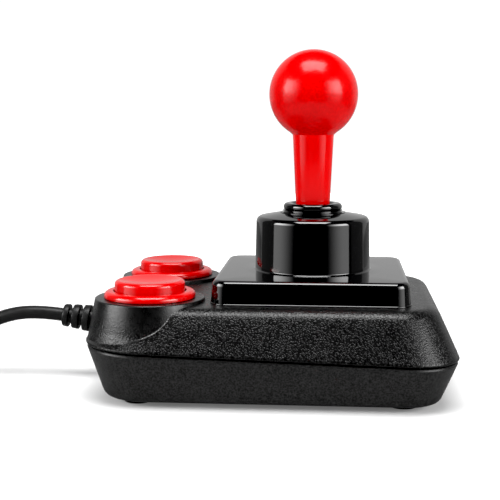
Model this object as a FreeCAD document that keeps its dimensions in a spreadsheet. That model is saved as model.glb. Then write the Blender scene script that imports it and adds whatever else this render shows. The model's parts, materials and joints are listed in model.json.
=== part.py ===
import FreeCAD
import Part
import Sketcher

import math
import os

# Two-button joystick controller, in millimetres.
# +X runs from the fire buttons to the stick, +Z is up, and the case stands on z = 0.

Vector = FreeCAD.Vector
Rotation = FreeCAD.Rotation

doc = FreeCAD.newDocument("joystick_controller")
sheet = doc.addObject("Spreadsheet::Sheet", "dims")

DRIVING = {
    # case
    "button_from_end": 24.2,
    "stick_from_button": 61.3,
    "stick_from_end": 55.5,
    "case_width": 108.0,
    "case_corner": 20.0,
    "button_corner": 26.0,
    "case_top": 37.5,
    "parting_height": 20.5,
    "parting_angle": 1.7,
    "shell_wall": 2.2,
    "shell_gap": 0.6,
    "rim_band": 2.2,
    "rim_step": 0.5,
    "top_inset": 8.5,
    "bottom_inset": 7.0,
    "waist_inset": 5.2,
    "waist_rise": 5.0,
    "top_edge": 6.0,
    "bottom_edge": 4.0,
    "tongue_wall": 1.2,
    "tongue_rise": 1.6,
    "tongue_root": 4.4,
    "foot_height": 2.0,
    "foot_radius": 6.5,
    "foot_from_end": 20.5,
    "foot_from_side": 19.0,
    "fit_gap": 0.2,
    "run_gap": 0.4,
    "rest_gap": 0.3,
    # case screws and the bosses that they hold together
    "screw_radius": 1.5,
    "screw_head_radius": 2.9,
    "screw_head_height": 2.0,
    "boss_radius": 3.5,
    "boss_meet": 14.0,
    "boss_front": 15.0,
    "boss_rear": 29.0,
    "boss_from_side": 14.0,
    "case_screw_seat": 4.6,
    "case_screw_reach": 26.0,
    # fire buttons
    "button_from_side": 26.0,
    "lobe_top": 38.9,
    "lobe_radius": 21.2,
    "lobe_draft": 10.5,
    "lobe_edge": 0.5,
    "lobe_skirt": 3.5,
    "collar_radius": 17.5,
    "collar_height": 2.7,
    "collar_edge": 1.1,
    "neck_radius": 15.8,
    "neck_depth": 14.7,
    "neck_wall": 1.2,
    "neck_shoulder": 3.7,
    "cap_radius": 13.5,
    "cap_rise": 4.0,
    "cap_edge": 0.8,
    "cap_rim": 0.9,
    "cap_dish": 1.0,
    "cap_flange": 0.8,
    "cap_flange_height": 2.5,
    "button_travel": 2.5,
    "travel_spare": 0.8,
    "stem_radius": 3.0,
    "nut_radius": 18.6,
    "nut_height": 4.0,
    "tab_width": 7.0,
    "tab_thick": 1.0,
    "tab_depth": 12.0,
    # microswitches
    "button_switch_length": 28.8,
    "button_switch_thick": 10.3,
    "button_switch_height": 13.0,
    "button_switch_drop": 3.7,
    "lever_thick": 0.4,
    "lever_width": 4.4,
    "lever_foot": 1.6,
    "lever_root": 9.0,
    "lever_tip": 8.4,
    "button_lever_root": 12.1,
    "button_lever_tip": 8.0,
    "stick_switch_length": 20.0,
    "stick_switch_depth": 10.0,
    "stick_switch_height": 6.4,
    "stick_switch_reach": 14.0,
    "lever_lean": 6.4,
    # stick and its turret
    "plate_side": 75.6,
    "plate_corner": 7.0,
    "plate_height": 9.0,
    "plate_draft": 6.5,
    "plate_edge": 2.2,
    "turret_radius": 23.0,
    "turret_height": 21.1,
    "turret_draft": 1.2,
    "turret_edge": 2.6,
    "turret_bore": 17.0,
    "turret_upper_bore": 13.0,
    "turret_mouth": 8.2,
    "turret_ledge": 11.6,
    "turret_roof": 5.6,
    "shell_mouth": 14.5,
    "ring_radius": 11.9,
    "ring_hole": 7.3,
    "ring_height": 4.5,
    "ring_bead": 1.15,
    "ring_heel": 0.4,
    "ball_radius": 17.5,
    "ball_rise": 48.1,
    "handle_sink": 0.7,
    "handle_foot_radius": 6.5,
    "neck_angle": 28.0,
    "shaft_radius": 4.0,
    "shaft_below": 0.8,
    "shaft_short": 7.9,
    "clip_groove": 0.8,
    "clip_height": 0.9,
    "clip_radius": 6.0,
    "clip_lift": 1.2,
    "clip_slot": 5.8,
    "actuator_radius": 6.2,
    "actuator_height": 9.6,
    "actuator_edge": 1.2,
    "rubber_hub": 8.2,
    "rubber_height": 11.6,
    "rubber_flange": 3.5,
    "clamp_height": 2.4,
    "clamp_hole": 10.0,
    # switch frame and its long screws
    "frame_side": 64.0,
    "frame_thick": 2.4,
    "frame_floor": 22.0,
    "frame_hole": 16.0,
    "post_radius": 3.5,
    "post_pitch": 56.0,
    "plate_thread": 6.0,
    # controller board
    "board_back": 10.0,
    "board_length": 60.0,
    "board_width": 34.0,
    "board_thick": 1.6,
    "board_lift": 9.0,
    "board_margin": 3.0,
    "board_post": 2.6,
    "board_screw": 1.0,
    "board_screw_head": 2.0,
    "chip_ahead": 10.0,
    "chip_side": 9.0,
    "chip_height": 1.5,
    "header_length": 12.0,
    "header_width": 6.0,
    "header_height": 7.0,
    # cord, strain relief and plug
    "cord_diameter": 5.5,
    "relief_height": 23.8,
    "relief_stand": 0.9,
    "relief_angle": 7.0,
    "relief_length": 16.0,
    "relief_root": 5.9,
    "relief_tip": 4.5,
    "relief_neck": 4.5,
    "relief_slack": 1.0,
    "relief_inside": 7.0,
    "relief_flange": 2.0,
    "rib_depth": 1.2,
    "rib_slot": 1.5,
    "rib_first": 3.1,
    "rib_pitch": 4.4,
    "coil_x": -172.0,
    "coil_middle": 29.0,
    "tie_thick": 0.8,
    "tie_width": 6.0,
    "tie_slack": 0.3,
    "grip_length": 28.0,
    "grip_back": 4.1,
    "grip_width": 16.0,
    "grip_height": 8.0,
    "plug_length": 19.0,
    "plug_width": 12.0,
    "plug_height": 4.5,
    "plug_wall": 0.4,
    "insulator_height": 1.9,
}

for row, (alias, amount) in enumerate(DRIVING.items(), start=1):
    sheet.set(f"A{row}", alias)
    sheet.set(f"B{row}", str(amount))
    sheet.setAlias(f"B{row}", alias)
doc.recompute()


class Size:
    """A length or angle: its value now, and the expression over the sheet that gives it."""

    def __init__(self, value, text):
        self.value = float(value)
        self.text = text

    def __add__(self, other):
        return Size(self.value + num(other), f"({self.text} + {text(other)})")

    def __sub__(self, other):
        return Size(self.value - num(other), f"({self.text} - {text(other)})")

    def __mul__(self, other):
        return Size(self.value * num(other), f"({self.text} * {text(other)})")

    def __truediv__(self, other):
        return Size(self.value / num(other), f"({self.text} / {text(other)})")

    def __neg__(self):
        return Size(-self.value, f"(0 - {self.text})")


def num(size):
    return size.value if isinstance(size, Size) else float(size)


def text(size):
    return size.text if isinstance(size, Size) else repr(float(size))


def tangent(angle):
    return Size(math.tan(math.radians(num(angle))), f"tan({text(angle)} * 1 deg)")


class Sheet:
    """The sheet's cells by name, each as a Size."""

    def __getattr__(self, alias):
        return Size(sheet.get(alias), f"dims.{alias}")


d = Sheet()
ZERO = Size(0, "0")
EDGE_TOLERANCE = 0.01


# Helpers for bodies, sketches and features

def bind(thing, path, size):
    thing.setExpression(path, text(size))


def new_body(label, x=0, y=0, z=0):
    body = doc.addObject("PartDesign::Body", label)
    body.Label = label
    for axis, where in (("x", x), ("y", y), ("z", z)):
        bind(body, f"Placement.Base.{axis}", where)
    return body


def new_sketch(body, role, offset=0, tilt=None):
    plane = [f for f in body.Origin.OriginFeatures if f.Role == role][0]
    sketch = body.newObject("Sketcher::SketchObject", f"{body.Label}_sketch")
    sketch.AttachmentSupport = [(plane, "")]
    sketch.MapMode = "FlatFace"
    if tilt is not None:
        sketch.AttachmentOffset = FreeCAD.Placement(Vector(), Rotation(Vector(0, 1, 0), num(tilt)))
        bind(sketch, "AttachmentOffset.Rotation.Angle", tilt)
    bind(sketch, "AttachmentOffset.Base.z", offset)
    return sketch


def hold(sketch, kind, places, size):
    index = sketch.addConstraint(Sketcher.Constraint(kind, *places, num(size)))
    if isinstance(size, Size):
        bind(sketch, f"Constraints[{index}]", size)


def hold_point(sketch, geometry, position, u, v):
    for kind, axis, where in (("DistanceX", -2, u), ("DistanceY", -1, v)):
        if num(where) == 0:
            sketch.addConstraint(Sketcher.Constraint("PointOnObject", geometry, position, axis))
        else:
            hold(sketch, kind, (-1, 1, geometry, position), where)


def polygon(sketch, points):
    first = sketch.GeometryCount
    corners = [Vector(num(u), num(v), 0) for u, v in points]
    count = len(corners)
    for i in range(count):
        sketch.addGeometry(Part.LineSegment(corners[i], corners[(i + 1) % count]))
    for i in range(count):
        joined = (first + i, 2, first + (i + 1) % count, 1)
        sketch.addConstraint(Sketcher.Constraint("Coincident", *joined))
    for i, (u, v) in enumerate(points):
        hold_point(sketch, first + i, 1, u, v)


def rectangle(sketch, length, width, u=0, v=0):
    left, right = length / -2 + u, length / 2 + u
    low, high = width / -2 + v, width / 2 + v
    polygon(sketch, [(left, low), (right, low), (right, high), (left, high)])


def circle(sketch, radius, u=0, v=0):
    geometry = sketch.addGeometry(Part.Circle(Vector(num(u), num(v), 0), Vector(0, 0, 1), num(radius)))
    hold(sketch, "Radius", (geometry,), radius)
    hold_point(sketch, geometry, 3, u, v)


def rounded_rectangle(sketch, length, width, right_corner, left_corner):
    """A rectangle about the sketch's origin, with tangent arcs at its corners."""
    x, y = num(length) / 2, num(width) / 2
    right, left = num(right_corner), num(left_corner)
    first = sketch.GeometryCount
    sides = [
        ((left - x, -y), (x - right, -y)),
        ((x, right - y), (x, y - right)),
        ((x - right, y), (left - x, y)),
        ((-x, y - left), (-x, left - y)),
    ]
    centres = [(x - right, right - y), (x - right, y - right), (left - x, y - left), (left - x, left - y)]
    for quarter, (side, centre) in enumerate(zip(sides, centres)):
        start, end = (Vector(*point, 0) for point in side)
        sketch.addGeometry(Part.LineSegment(start, end))
        turn = math.radians(90 * quarter - 90)
        radius = right if quarter < 2 else left
        round_corner = Part.Circle(Vector(*centre, 0), Vector(0, 0, 1), radius)
        sketch.addGeometry(Part.ArcOfCircle(round_corner, turn, turn + math.pi / 2))
    for quarter in range(4):
        line, arc = first + 2 * quarter, first + 2 * quarter + 1
        following = first + (2 * quarter + 2) % 8
        sketch.addConstraint(Sketcher.Constraint("Tangent", line, 2, arc, 1))
        sketch.addConstraint(Sketcher.Constraint("Tangent", arc, 2, following, 1))
        direction = "Horizontal" if quarter % 2 == 0 else "Vertical"
        sketch.addConstraint(Sketcher.Constraint(direction, line))
        if quarter % 2:
            sketch.addConstraint(Sketcher.Constraint("Equal", arc - 2, arc))
    hold(sketch, "Radius", (first + 1,), right_corner)
    hold(sketch, "Radius", (first + 5,), left_corner)
    hold(sketch, "DistanceY", (-1, 1, first, 1), -(width / 2))
    hold(sketch, "DistanceX", (-1, 1, first + 2, 1), length / 2)
    hold(sketch, "DistanceY", (-1, 1, first + 4, 1), width / 2)
    hold(sketch, "DistanceX", (-1, 1, first + 6, 1), -(length / 2))


def extrude(body, kind, sketch, length, reverse=False, draft=None):
    """A Pad or Pocket of the sketch. A Pocket of its own accord runs against the sketch's normal."""
    feature = body.newObject(f"PartDesign::{kind}", f"{body.Label}_{kind.lower()}")
    feature.Profile = sketch
    bind(feature, "Length", length)
    feature.Reversed = reverse
    if draft is not None:
        bind(feature, "TaperAngle", draft)
    doc.recompute()
    return feature


def pad(body, sketch, length, reverse=False, draft=None):
    return extrude(body, "Pad", sketch, length, reverse, draft)


def pocket(body, sketch, length, reverse=False, draft=None):
    before = body.Shape.Volume
    feature = extrude(body, "Pocket", sketch, length, reverse, draft)
    if body.Shape.Volume >= before:
        raise RuntimeError(f"a pocket of {body.Label} cuts nothing")
    return feature


def loft(body, kind, sketches):
    feature = body.newObject(f"PartDesign::{kind}", f"{body.Label}_loft")
    feature.Profile = sketches[0]
    feature.Sections = sketches[1:]
    feature.Ruled = True
    doc.recompute()
    return feature


def dress(body, kind, base, size, test):
    """A Fillet or Chamfer of those edges of the base feature that pass the test."""
    names = [f"Edge{i + 1}" for i, edge in enumerate(base.Shape.Edges) if test(edge)]
    feature = body.newObject(f"PartDesign::{kind}", f"{body.Label}_{kind.lower()}")
    feature.Base = (base, names)
    bind(feature, "Radius" if kind == "Fillet" else "Size", size)
    doc.recompute()
    return feature


def above(level):
    """A test for edges that lie at a level or over it."""
    return lambda edge: edge.BoundBox.ZMin > num(level) - EDGE_TOLERANCE


def below(level):
    """A test for edges that lie at a level or under it."""
    return lambda edge: edge.BoundBox.ZMax < num(level) + EDGE_TOLERANCE


def turned(label, points, x=0, y=0, z=0):
    """A body turned about its own Z axis from (radius, height) points."""
    body = new_body(label, x, y, z)
    sketch = new_sketch(body, "XZ_Plane")
    polygon(sketch, points)
    feature = body.newObject("PartDesign::Revolution", f"{label}_revolution")
    feature.Profile = sketch
    feature.ReferenceAxis = (sketch, ["V_Axis"])
    feature.Angle = 360
    doc.recompute()
    return body


def block(label, length, width, height, x, y, z):
    """A plain rectangular piece, centred on (x, y) and standing on z."""
    box = doc.addObject("Part::Box", label)
    box.Label = label
    for name, size in (("Length", length), ("Width", width), ("Height", height)):
        bind(box, name, size)
    for axis, where in (("x", x - length / 2), ("y", y - width / 2), ("z", z)):
        bind(box, f"Placement.Base.{axis}", where)
    return box


def prism(name, sides, radius, height, x, y, z):
    solid = doc.addObject("Part::Prism", name)
    solid.Polygon = sides
    bind(solid, "Circumradius", radius)
    bind(solid, "Height", height)
    for axis, where in (("x", x), ("y", y), ("z", z)):
        bind(solid, f"Placement.Base.{axis}", where)
    return solid


def screws(label, places, radius, head_radius, head_height, seat, tip, from_below=True):
    """A group of like screws. The seat is the face that the head bears on."""
    head_sides, shank_sides = 6, 12
    singles = []
    for x, y in places:
        head_z = seat - head_height if from_below else seat
        head = prism(f"{label}_head", head_sides, head_radius, head_height, x, y, head_z)
        low, high = (seat, tip) if from_below else (tip, seat)
        shank = prism(f"{label}_shank", shank_sides, radius, high - low, x, y, low)
        single = doc.addObject("Part::Fuse", f"{label}_single")
        single.Base, single.Tool = head, shank
        singles.append(single)
    group = doc.addObject("Part::Compound", label)
    group.Label = label
    group.Links = singles
    doc.recompute()
    return group


def corners(x, y, centre_x=0):
    """The four places at plus and minus x and y about a centre."""
    return [(x * sx + centre_x, y * sy) for sx in (-1, 1) for sy in (-1, 1)]


subparts = []

# Levels and places that several pieces share

case_length = d.button_from_end + d.stick_from_button + d.stick_from_end
button_x = d.button_from_end - case_length / 2
stick_x = button_x + d.stick_from_button
board_x = stick_x - d.board_back
top_inside = d.case_top - d.shell_wall
floor_inside = d.foot_height + d.shell_wall
plate_top = d.case_top + d.plate_height
turret_top = plate_top + d.turret_height
collar_top = d.lobe_top + d.collar_height
neck_bottom = d.lobe_top - d.neck_depth
frame_top = d.frame_floor + d.frame_thick
board_top = d.board_lift + d.board_thick
foot_of_handle = turret_top - d.handle_sink
ball_height = turret_top + d.ball_rise
shaft_bottom = d.frame_floor - d.shaft_below
shaft_top = ball_height - d.shaft_short
boss_y = d.case_width / 2 - d.boss_from_side
boss_places = (stick_x - d.boss_rear, stick_x + d.boss_front)
case_bosses = [(x, boss_y * side) for x in boss_places for side in (-1, 1)]
posts = corners(d.post_pitch / 2, d.post_pitch / 2)
board_hole_x, board_hole_y = d.board_length / 2 - d.board_margin, d.board_width / 2 - d.board_margin
board_corners = corners(board_hole_x, board_hole_y, board_x)
button_y = d.case_width / 2 - d.button_from_side
buttons = {"near": -button_y, "far": button_y}
relief_x = case_length / -2 - d.relief_stand


# Case

def draw_outline(sketch, inset):
    length, width = case_length - inset * 2, d.case_width - inset * 2
    rounded_rectangle(sketch, length, width, d.case_corner - inset, d.button_corner - inset)


def shell_outline(body, inset, offset, tilt=None):
    """The case's rounded outline in plan, drawn in by the inset, at a level or on the parting plane."""
    sketch = new_sketch(body, "XY_Plane", offset, tilt)
    draw_outline(sketch, inset)
    return sketch


def cord_hole(body):
    """The hole for the strain relief's neck, shared by both halves of the case."""
    sketch = new_sketch(body, "YZ_Plane", relief_x - d.shell_wall)
    circle(sketch, d.relief_neck + d.relief_slack, 0, d.relief_height)
    pocket(body, sketch, d.relief_inside + d.shell_wall, reverse=True)


def make_upper_shell():
    body = new_body("upper_shell")
    rim = shell_outline(body, ZERO, d.parting_height, d.parting_angle)
    pad(body, rim, d.rim_band)
    shoulder = shell_outline(body, ZERO, d.parting_height + d.rim_band, d.parting_angle)
    roof = shell_outline(body, d.top_inset, d.case_top)
    slope = loft(body, "AdditiveLoft", [shoulder, roof])
    dress(body, "Fillet", slope, d.top_edge, above(d.case_top))

    lobe = new_sketch(body, "XY_Plane", d.lobe_top)
    for y in buttons.values():
        circle(lobe, d.lobe_radius, button_x, y)
    lobe_height = d.lobe_top - d.parting_height - d.lobe_skirt
    lobes = pad(body, lobe, lobe_height, reverse=True, draft=d.lobe_draft)
    dress(body, "Chamfer", lobes, d.lobe_edge, above(d.lobe_top))

    inner_rim = shell_outline(body, d.shell_wall, d.parting_height, d.parting_angle)
    inner_roof = shell_outline(body, d.top_inset + d.shell_wall, top_inside)
    loft(body, "SubtractiveLoft", [inner_rim, inner_roof])
    lobe_room = new_sketch(body, "XY_Plane", d.lobe_top - d.shell_wall)
    for y in buttons.values():
        circle(lobe_room, d.lobe_radius - d.shell_wall, button_x, y)
    pocket(body, lobe_room, lobe_height - d.shell_wall + d.rim_band, draft=d.lobe_draft)

    mouths = new_sketch(body, "XY_Plane", d.lobe_top)
    for y in buttons.values():
        circle(mouths, d.neck_radius + d.fit_gap, button_x, y)
    circle(mouths, d.shell_mouth, stick_x, 0)
    for x, y in posts:
        circle(mouths, d.screw_radius + d.fit_gap, x + stick_x, y)
    pocket(body, mouths, d.lobe_top - top_inside + d.fit_gap)

    boss = new_sketch(body, "XY_Plane", d.boss_meet)
    for x, y in case_bosses:
        circle(boss, d.boss_radius, x, y)
    pad(body, boss, d.case_top - d.shell_wall / 2 - d.boss_meet)
    bore = new_sketch(body, "XY_Plane", d.boss_meet)
    for x, y in case_bosses:
        circle(bore, d.screw_radius, x, y)
    pocket(body, bore, d.case_screw_reach - d.boss_meet + d.run_gap, reverse=True)
    cord_hole(body)
    subparts.append(body)


def make_lower_shell():
    body = new_body("lower_shell")
    bottom = shell_outline(body, d.bottom_inset, d.foot_height)
    rim_level = d.parting_height - d.shell_gap
    rim = shell_outline(body, d.rim_step, rim_level, d.parting_angle)
    # Below the waist the walls are level all round, so that the bottom edge can be rounded.
    waist = shell_outline(body, d.waist_inset, d.foot_height + d.waist_rise)
    loft(body, "AdditiveLoft", [rim, waist])
    tub = loft(body, "AdditiveLoft", [waist, bottom])
    dress(body, "Fillet", tub, d.bottom_edge, below(d.foot_height))
    wall = d.shell_wall
    floor = shell_outline(body, d.bottom_inset + wall, floor_inside)
    open_rim = shell_outline(body, d.rim_step + wall, rim_level, d.parting_angle)
    loft(body, "SubtractiveLoft", [open_rim, floor])

    # The tongue stands inside the upper half, clear of its sloping wall at the steepest end.
    slope_rise = top_inside - d.parting_height - tangent(d.parting_angle) * case_length / 2
    tongue_inset = wall + d.tongue_rise * d.top_inset / slope_rise + d.fit_gap
    tongue = shell_outline(body, tongue_inset, rim_level - d.tongue_root, d.parting_angle)
    draw_outline(tongue, tongue_inset + d.tongue_wall)
    pad(body, tongue, d.tongue_root + d.shell_gap + d.tongue_rise)

    pillar = new_sketch(body, "XY_Plane", d.foot_height + wall / 2)
    for x, y in case_bosses:
        circle(pillar, d.boss_radius + d.fit_gap, x, y)
    pad(body, pillar, d.boss_meet - d.foot_height - wall / 2)
    stand = new_sketch(body, "XY_Plane", d.foot_height + wall / 2)
    for x, y in board_corners:
        circle(stand, d.board_post, x, y)
    pad(body, stand, d.board_lift - d.foot_height - wall / 2)

    shank = new_sketch(body, "XY_Plane", d.boss_meet)
    for x, y in case_bosses:
        circle(shank, d.screw_radius + d.fit_gap, x, y)
    pocket(body, shank, d.boss_meet)
    recess = new_sketch(body, "XY_Plane", d.case_screw_seat)
    for x, y in case_bosses:
        circle(recess, d.screw_head_radius + d.fit_gap, x, y)
    pocket(body, recess, d.case_screw_seat)
    pilot = new_sketch(body, "XY_Plane", d.board_lift)
    for x, y in board_corners:
        circle(pilot, d.board_screw, x, y)
    pocket(body, pilot, d.board_lift - floor_inside)
    cord_hole(body)
    subparts.append(body)


def make_feet():
    pads = []
    for x, y in corners(case_length / 2 - d.foot_from_end, d.case_width / 2 - d.foot_from_side):
        foot = doc.addObject("Part::Cylinder", "foot")
        bind(foot, "Radius", d.foot_radius)
        bind(foot, "Height", d.foot_height)
        bind(foot, "Placement.Base.x", x)
        bind(foot, "Placement.Base.y", y)
        pads.append(foot)
    group = doc.addObject("Part::Compound", "feet")
    group.Label = "feet"
    group.Links = pads
    subparts.append(group)


# Stick: turret, ring, handle and what they hold

def make_stick_turret():
    body = new_body("stick_turret", x=stick_x, z=d.case_top)
    base = new_sketch(body, "XY_Plane")
    rounded_rectangle(base, d.plate_side, d.plate_side, d.plate_corner, d.plate_corner)
    plate = pad(body, base, d.plate_height, draft=-d.plate_draft)
    dress(body, "Fillet", plate, d.plate_edge, above(d.plate_height))
    column = new_sketch(body, "XY_Plane", d.plate_height / 2)
    circle(column, d.turret_radius)
    column_height = d.turret_height + d.plate_height / 2
    turret = pad(body, column, column_height, draft=-d.turret_draft)
    rise = d.plate_height + d.turret_height
    dress(body, "Fillet", turret, d.turret_edge, above(rise))
    for radius, depth in (
        (d.turret_bore, rise - d.turret_ledge),
        (d.turret_upper_bore, rise - d.turret_roof),
        (d.turret_mouth, rise + d.fit_gap),
    ):
        bore = new_sketch(body, "XY_Plane")
        circle(bore, radius)
        pocket(body, bore, depth, reverse=True)
    threads = new_sketch(body, "XY_Plane")
    for x, y in posts:
        circle(threads, d.screw_radius, x, y)
    pocket(body, threads, d.plate_thread + d.fit_gap, reverse=True)
    subparts.append(body)


def make_dust_ring():
    low, high = turret_top, turret_top + d.ring_height
    waist = turret_top + d.ring_height / 2
    bead, heel = d.ring_bead, d.ring_heel
    subparts.append(
        turned(
            "dust_ring",
            [
                (d.ring_hole + heel, low),
                (d.ring_hole, waist),
                (d.ring_hole + bead, high),
                (d.ring_radius - bead, high),
                (d.ring_radius, waist),
                (d.ring_radius - heel, low),
            ],
            x=stick_x,
        )
    )


def make_ball_handle():
    # The ball is turned as narrow bands from the handle's neck to its pole.
    neck_angle = num(d.neck_angle)
    bands = 10
    points = [(0, foot_of_handle), (d.handle_foot_radius, foot_of_handle)]
    for band in range(bands):
        angle = math.radians(neck_angle + (180 - neck_angle) * band / bands)
        points.append((d.ball_radius * math.sin(angle), ball_height - d.ball_radius * math.cos(angle)))
    points.append((0, ball_height + d.ball_radius))
    body = turned("ball_handle", points, x=stick_x)
    bore = new_sketch(body, "XY_Plane", foot_of_handle)
    circle(bore, d.shaft_radius)
    pocket(body, bore, shaft_top - foot_of_handle, reverse=True)
    subparts.append(body)


def make_steel_shaft():
    radius, core = d.shaft_radius, d.shaft_radius - d.clip_groove
    groove = shaft_bottom + d.clip_lift
    subparts.append(
        turned(
            "steel_shaft",
            [
                (0, shaft_bottom),
                (radius, shaft_bottom),
                (radius, groove),
                (core, groove),
                (core, groove + d.clip_height),
                (radius, groove + d.clip_height),
                (radius, shaft_top),
                (0, shaft_top),
            ],
            x=stick_x,
        )
    )


def make_e_clip():
    core = d.shaft_radius - d.clip_groove
    body = new_body("e_clip", x=stick_x, z=shaft_bottom + d.clip_lift)
    sketch = new_sketch(body, "XY_Plane")
    circle(sketch, d.clip_radius)
    circle(sketch, core)
    pad(body, sketch, d.clip_height)
    slot = new_sketch(body, "XY_Plane")
    rectangle(slot, d.clip_radius * 2, d.clip_slot, d.clip_radius, 0)
    pocket(body, slot, d.clip_height, reverse=True)
    subparts.append(body)


def make_actuator():
    low = shaft_bottom + d.clip_lift + d.clip_height
    high = low + d.actuator_height
    edge = d.actuator_radius - d.actuator_edge
    subparts.append(
        turned(
            "actuator",
            [
                (d.shaft_radius, low),
                (d.actuator_radius, low),
                (d.actuator_radius, high - d.actuator_edge),
                (edge, high),
                (d.shaft_radius, high),
            ],
            x=stick_x,
        )
    )


def make_centering_rubber():
    ledge = turret_top - d.turret_ledge
    roof = turret_top - d.turret_roof - d.run_gap
    hole = d.shaft_radius + d.run_gap
    rim = d.turret_bore - d.run_gap
    under = ledge - d.fit_gap - d.rubber_flange
    low = roof - d.rubber_height
    subparts.append(
        turned(
            "centering_rubber",
            [
                (hole, low),
                (d.rubber_hub, low),
                (d.rubber_hub, under),
                (rim, under),
                (rim, ledge - d.fit_gap),
                (d.turret_upper_bore - d.shell_wall, ledge - d.fit_gap),
                (d.rubber_hub - d.shell_wall / 2, roof),
                (hole, roof),
            ],
            x=stick_x,
        )
    )
    clamp_top = under - d.fit_gap
    subparts.append(
        turned(
            "clamp_ring",
            [
                (d.clamp_hole, clamp_top - d.clamp_height),
                (d.turret_bore, clamp_top - d.clamp_height),
                (d.turret_bore, clamp_top),
                (d.clamp_hole, clamp_top),
            ],
            x=stick_x,
        )
    )


# Direction switches

def make_switch_frame():
    body = new_body("switch_frame", x=stick_x)
    sketch = new_sketch(body, "XY_Plane", d.frame_floor)
    rectangle(sketch, d.frame_side, d.frame_side)
    pad(body, sketch, d.frame_thick)
    legs = new_sketch(body, "XY_Plane", d.frame_floor)
    for x, y in posts:
        circle(legs, d.post_radius, x, y)
    pad(body, legs, top_inside - d.frame_floor)
    holes = new_sketch(body, "XY_Plane", d.frame_floor)
    circle(holes, d.frame_hole)
    for x, y in posts:
        circle(holes, d.screw_radius + d.fit_gap, x, y)
    pocket(body, holes, top_inside - d.frame_floor, reverse=True)
    subparts.append(body)


def make_stick_switch(side, turn):
    spin = Rotation(Vector(0, 0, 1), turn)
    centre = d.stick_switch_reach + d.stick_switch_depth / 2
    body = new_body(f"switch_{side}", x=stick_x)
    sketch = new_sketch(body, "XY_Plane", frame_top)
    rectangle(sketch, d.stick_switch_depth, d.stick_switch_length, centre, 0)
    pad(body, sketch, d.stick_switch_height)
    body.Placement.Rotation = spin
    subparts.append(body)

    lever = new_body(f"lever_{side}", x=stick_x)
    strip = new_sketch(lever, "XY_Plane", frame_top + (d.stick_switch_height - d.lever_width) / 2)
    root, tip = -d.lever_root, d.lever_tip
    face = d.stick_switch_reach
    polygon(
        strip,
        [
            (face, root),
            (face, root + d.lever_foot / 2),
            (face - d.lever_lean + d.lever_thick, tip),
            (face - d.lever_lean, tip),
            (face - d.lever_thick, root),
        ],
    )
    pad(lever, strip, d.lever_width)
    lever.Placement.Rotation = spin
    subparts.append(lever)


# Fire buttons

def make_button(side, y):
    x = button_x
    bore = d.cap_radius + d.run_gap
    room = d.neck_radius - d.neck_wall
    shoulder = d.lobe_top - d.neck_shoulder
    collar = turned(
        f"button_collar_{side}",
        [
            (bore, collar_top),
            (d.collar_radius - d.collar_edge, collar_top),
            (d.collar_radius, collar_top - d.collar_edge),
            (d.collar_radius, d.lobe_top),
            (d.neck_radius, d.lobe_top),
            (d.neck_radius, neck_bottom),
            (room, neck_bottom),
            (room, shoulder),
            (bore, shoulder),
        ],
        x,
        y,
    )
    tabs = new_sketch(collar, "XY_Plane", neck_bottom - d.tab_depth)
    for tab in (-1, 1):
        rectangle(tabs, d.tab_thick, d.tab_width, (room + d.tab_thick / 2) * tab, 0)
    pad(collar, tabs, d.tab_depth + d.neck_wall)
    subparts.append(collar)

    nut = doc.addObject("Part::Cut", f"button_nut_{side}")
    nut.Label = f"button_nut_{side}"
    nut_low = d.lobe_top - d.shell_wall - d.nut_height
    nut_sides = 12
    nut.Base = prism("nut_blank", nut_sides, d.nut_radius, d.nut_height, x, y, nut_low)
    nut_bore = doc.addObject("Part::Cylinder", "nut_bore")
    bind(nut_bore, "Radius", d.neck_radius)
    bind(nut_bore, "Height", d.nut_height)
    for axis, where in (("x", x), ("y", y), ("z", nut_low)):
        bind(nut_bore, f"Placement.Base.{axis}", where)
    nut.Tool = nut_bore
    subparts.append(nut)

    cap_top = collar_top + d.cap_rise
    flange_top = shoulder - d.rest_gap
    flange_low = flange_top - d.cap_flange_height
    switch_top = neck_bottom - d.button_switch_drop
    stem_low = switch_top + d.button_travel + d.travel_spare
    subparts.append(
        turned(
            f"button_cap_{side}",
            [
                (0, stem_low),
                (d.stem_radius, stem_low),
                (d.stem_radius, flange_low),
                (d.cap_radius + d.cap_flange, flange_low),
                (d.cap_radius + d.cap_flange, flange_top),
                (d.cap_radius, flange_top),
                (d.cap_radius, cap_top - d.cap_edge),
                (d.cap_radius - d.cap_edge, cap_top),
                (d.cap_radius - d.cap_edge - d.cap_rim, cap_top),
                (0, cap_top - d.cap_dish),
            ],
            x,
            y,
        )
    )
    subparts.append(
        block(
            f"button_switch_{side}",
            d.button_switch_length,
            d.button_switch_thick,
            d.button_switch_height,
            x,
            y,
            switch_top - d.button_switch_height,
        )
    )

    lever = new_body(f"button_lever_{side}", x, y - d.lever_width / 2)
    strip = new_sketch(lever, "XZ_Plane", 0)
    root, tip = -d.button_lever_root, d.button_lever_tip
    reach = stem_low - d.rest_gap
    polygon(
        strip,
        [
            (root, switch_top),
            (root + d.lever_foot, switch_top),
            (tip, reach - d.lever_thick),
            (tip, reach),
            (root, switch_top + d.lever_thick),
        ],
    )
    pad(lever, strip, d.lever_width, reverse=True)
    subparts.append(lever)


# Controller board

def make_board():
    board = new_body("circuit_board", x=board_x)
    sketch = new_sketch(board, "XY_Plane", d.board_lift)
    rectangle(sketch, d.board_length, d.board_width)
    for x, y in corners(board_hole_x, board_hole_y):
        circle(sketch, d.board_screw + d.fit_gap, x, y)
    pad(board, sketch, d.board_thick)
    subparts.append(board)
    chip_x = board_x + d.chip_ahead
    chip = block("board_chip", d.chip_side, d.chip_side, d.chip_height, chip_x, ZERO, board_top)
    subparts.append(chip)
    header_x = board_x - d.board_length / 2 + d.header_width
    subparts.append(
        block(
            "board_header",
            d.header_width,
            d.header_length,
            d.header_height,
            header_x,
            ZERO,
            board_top,
        )
    )


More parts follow.
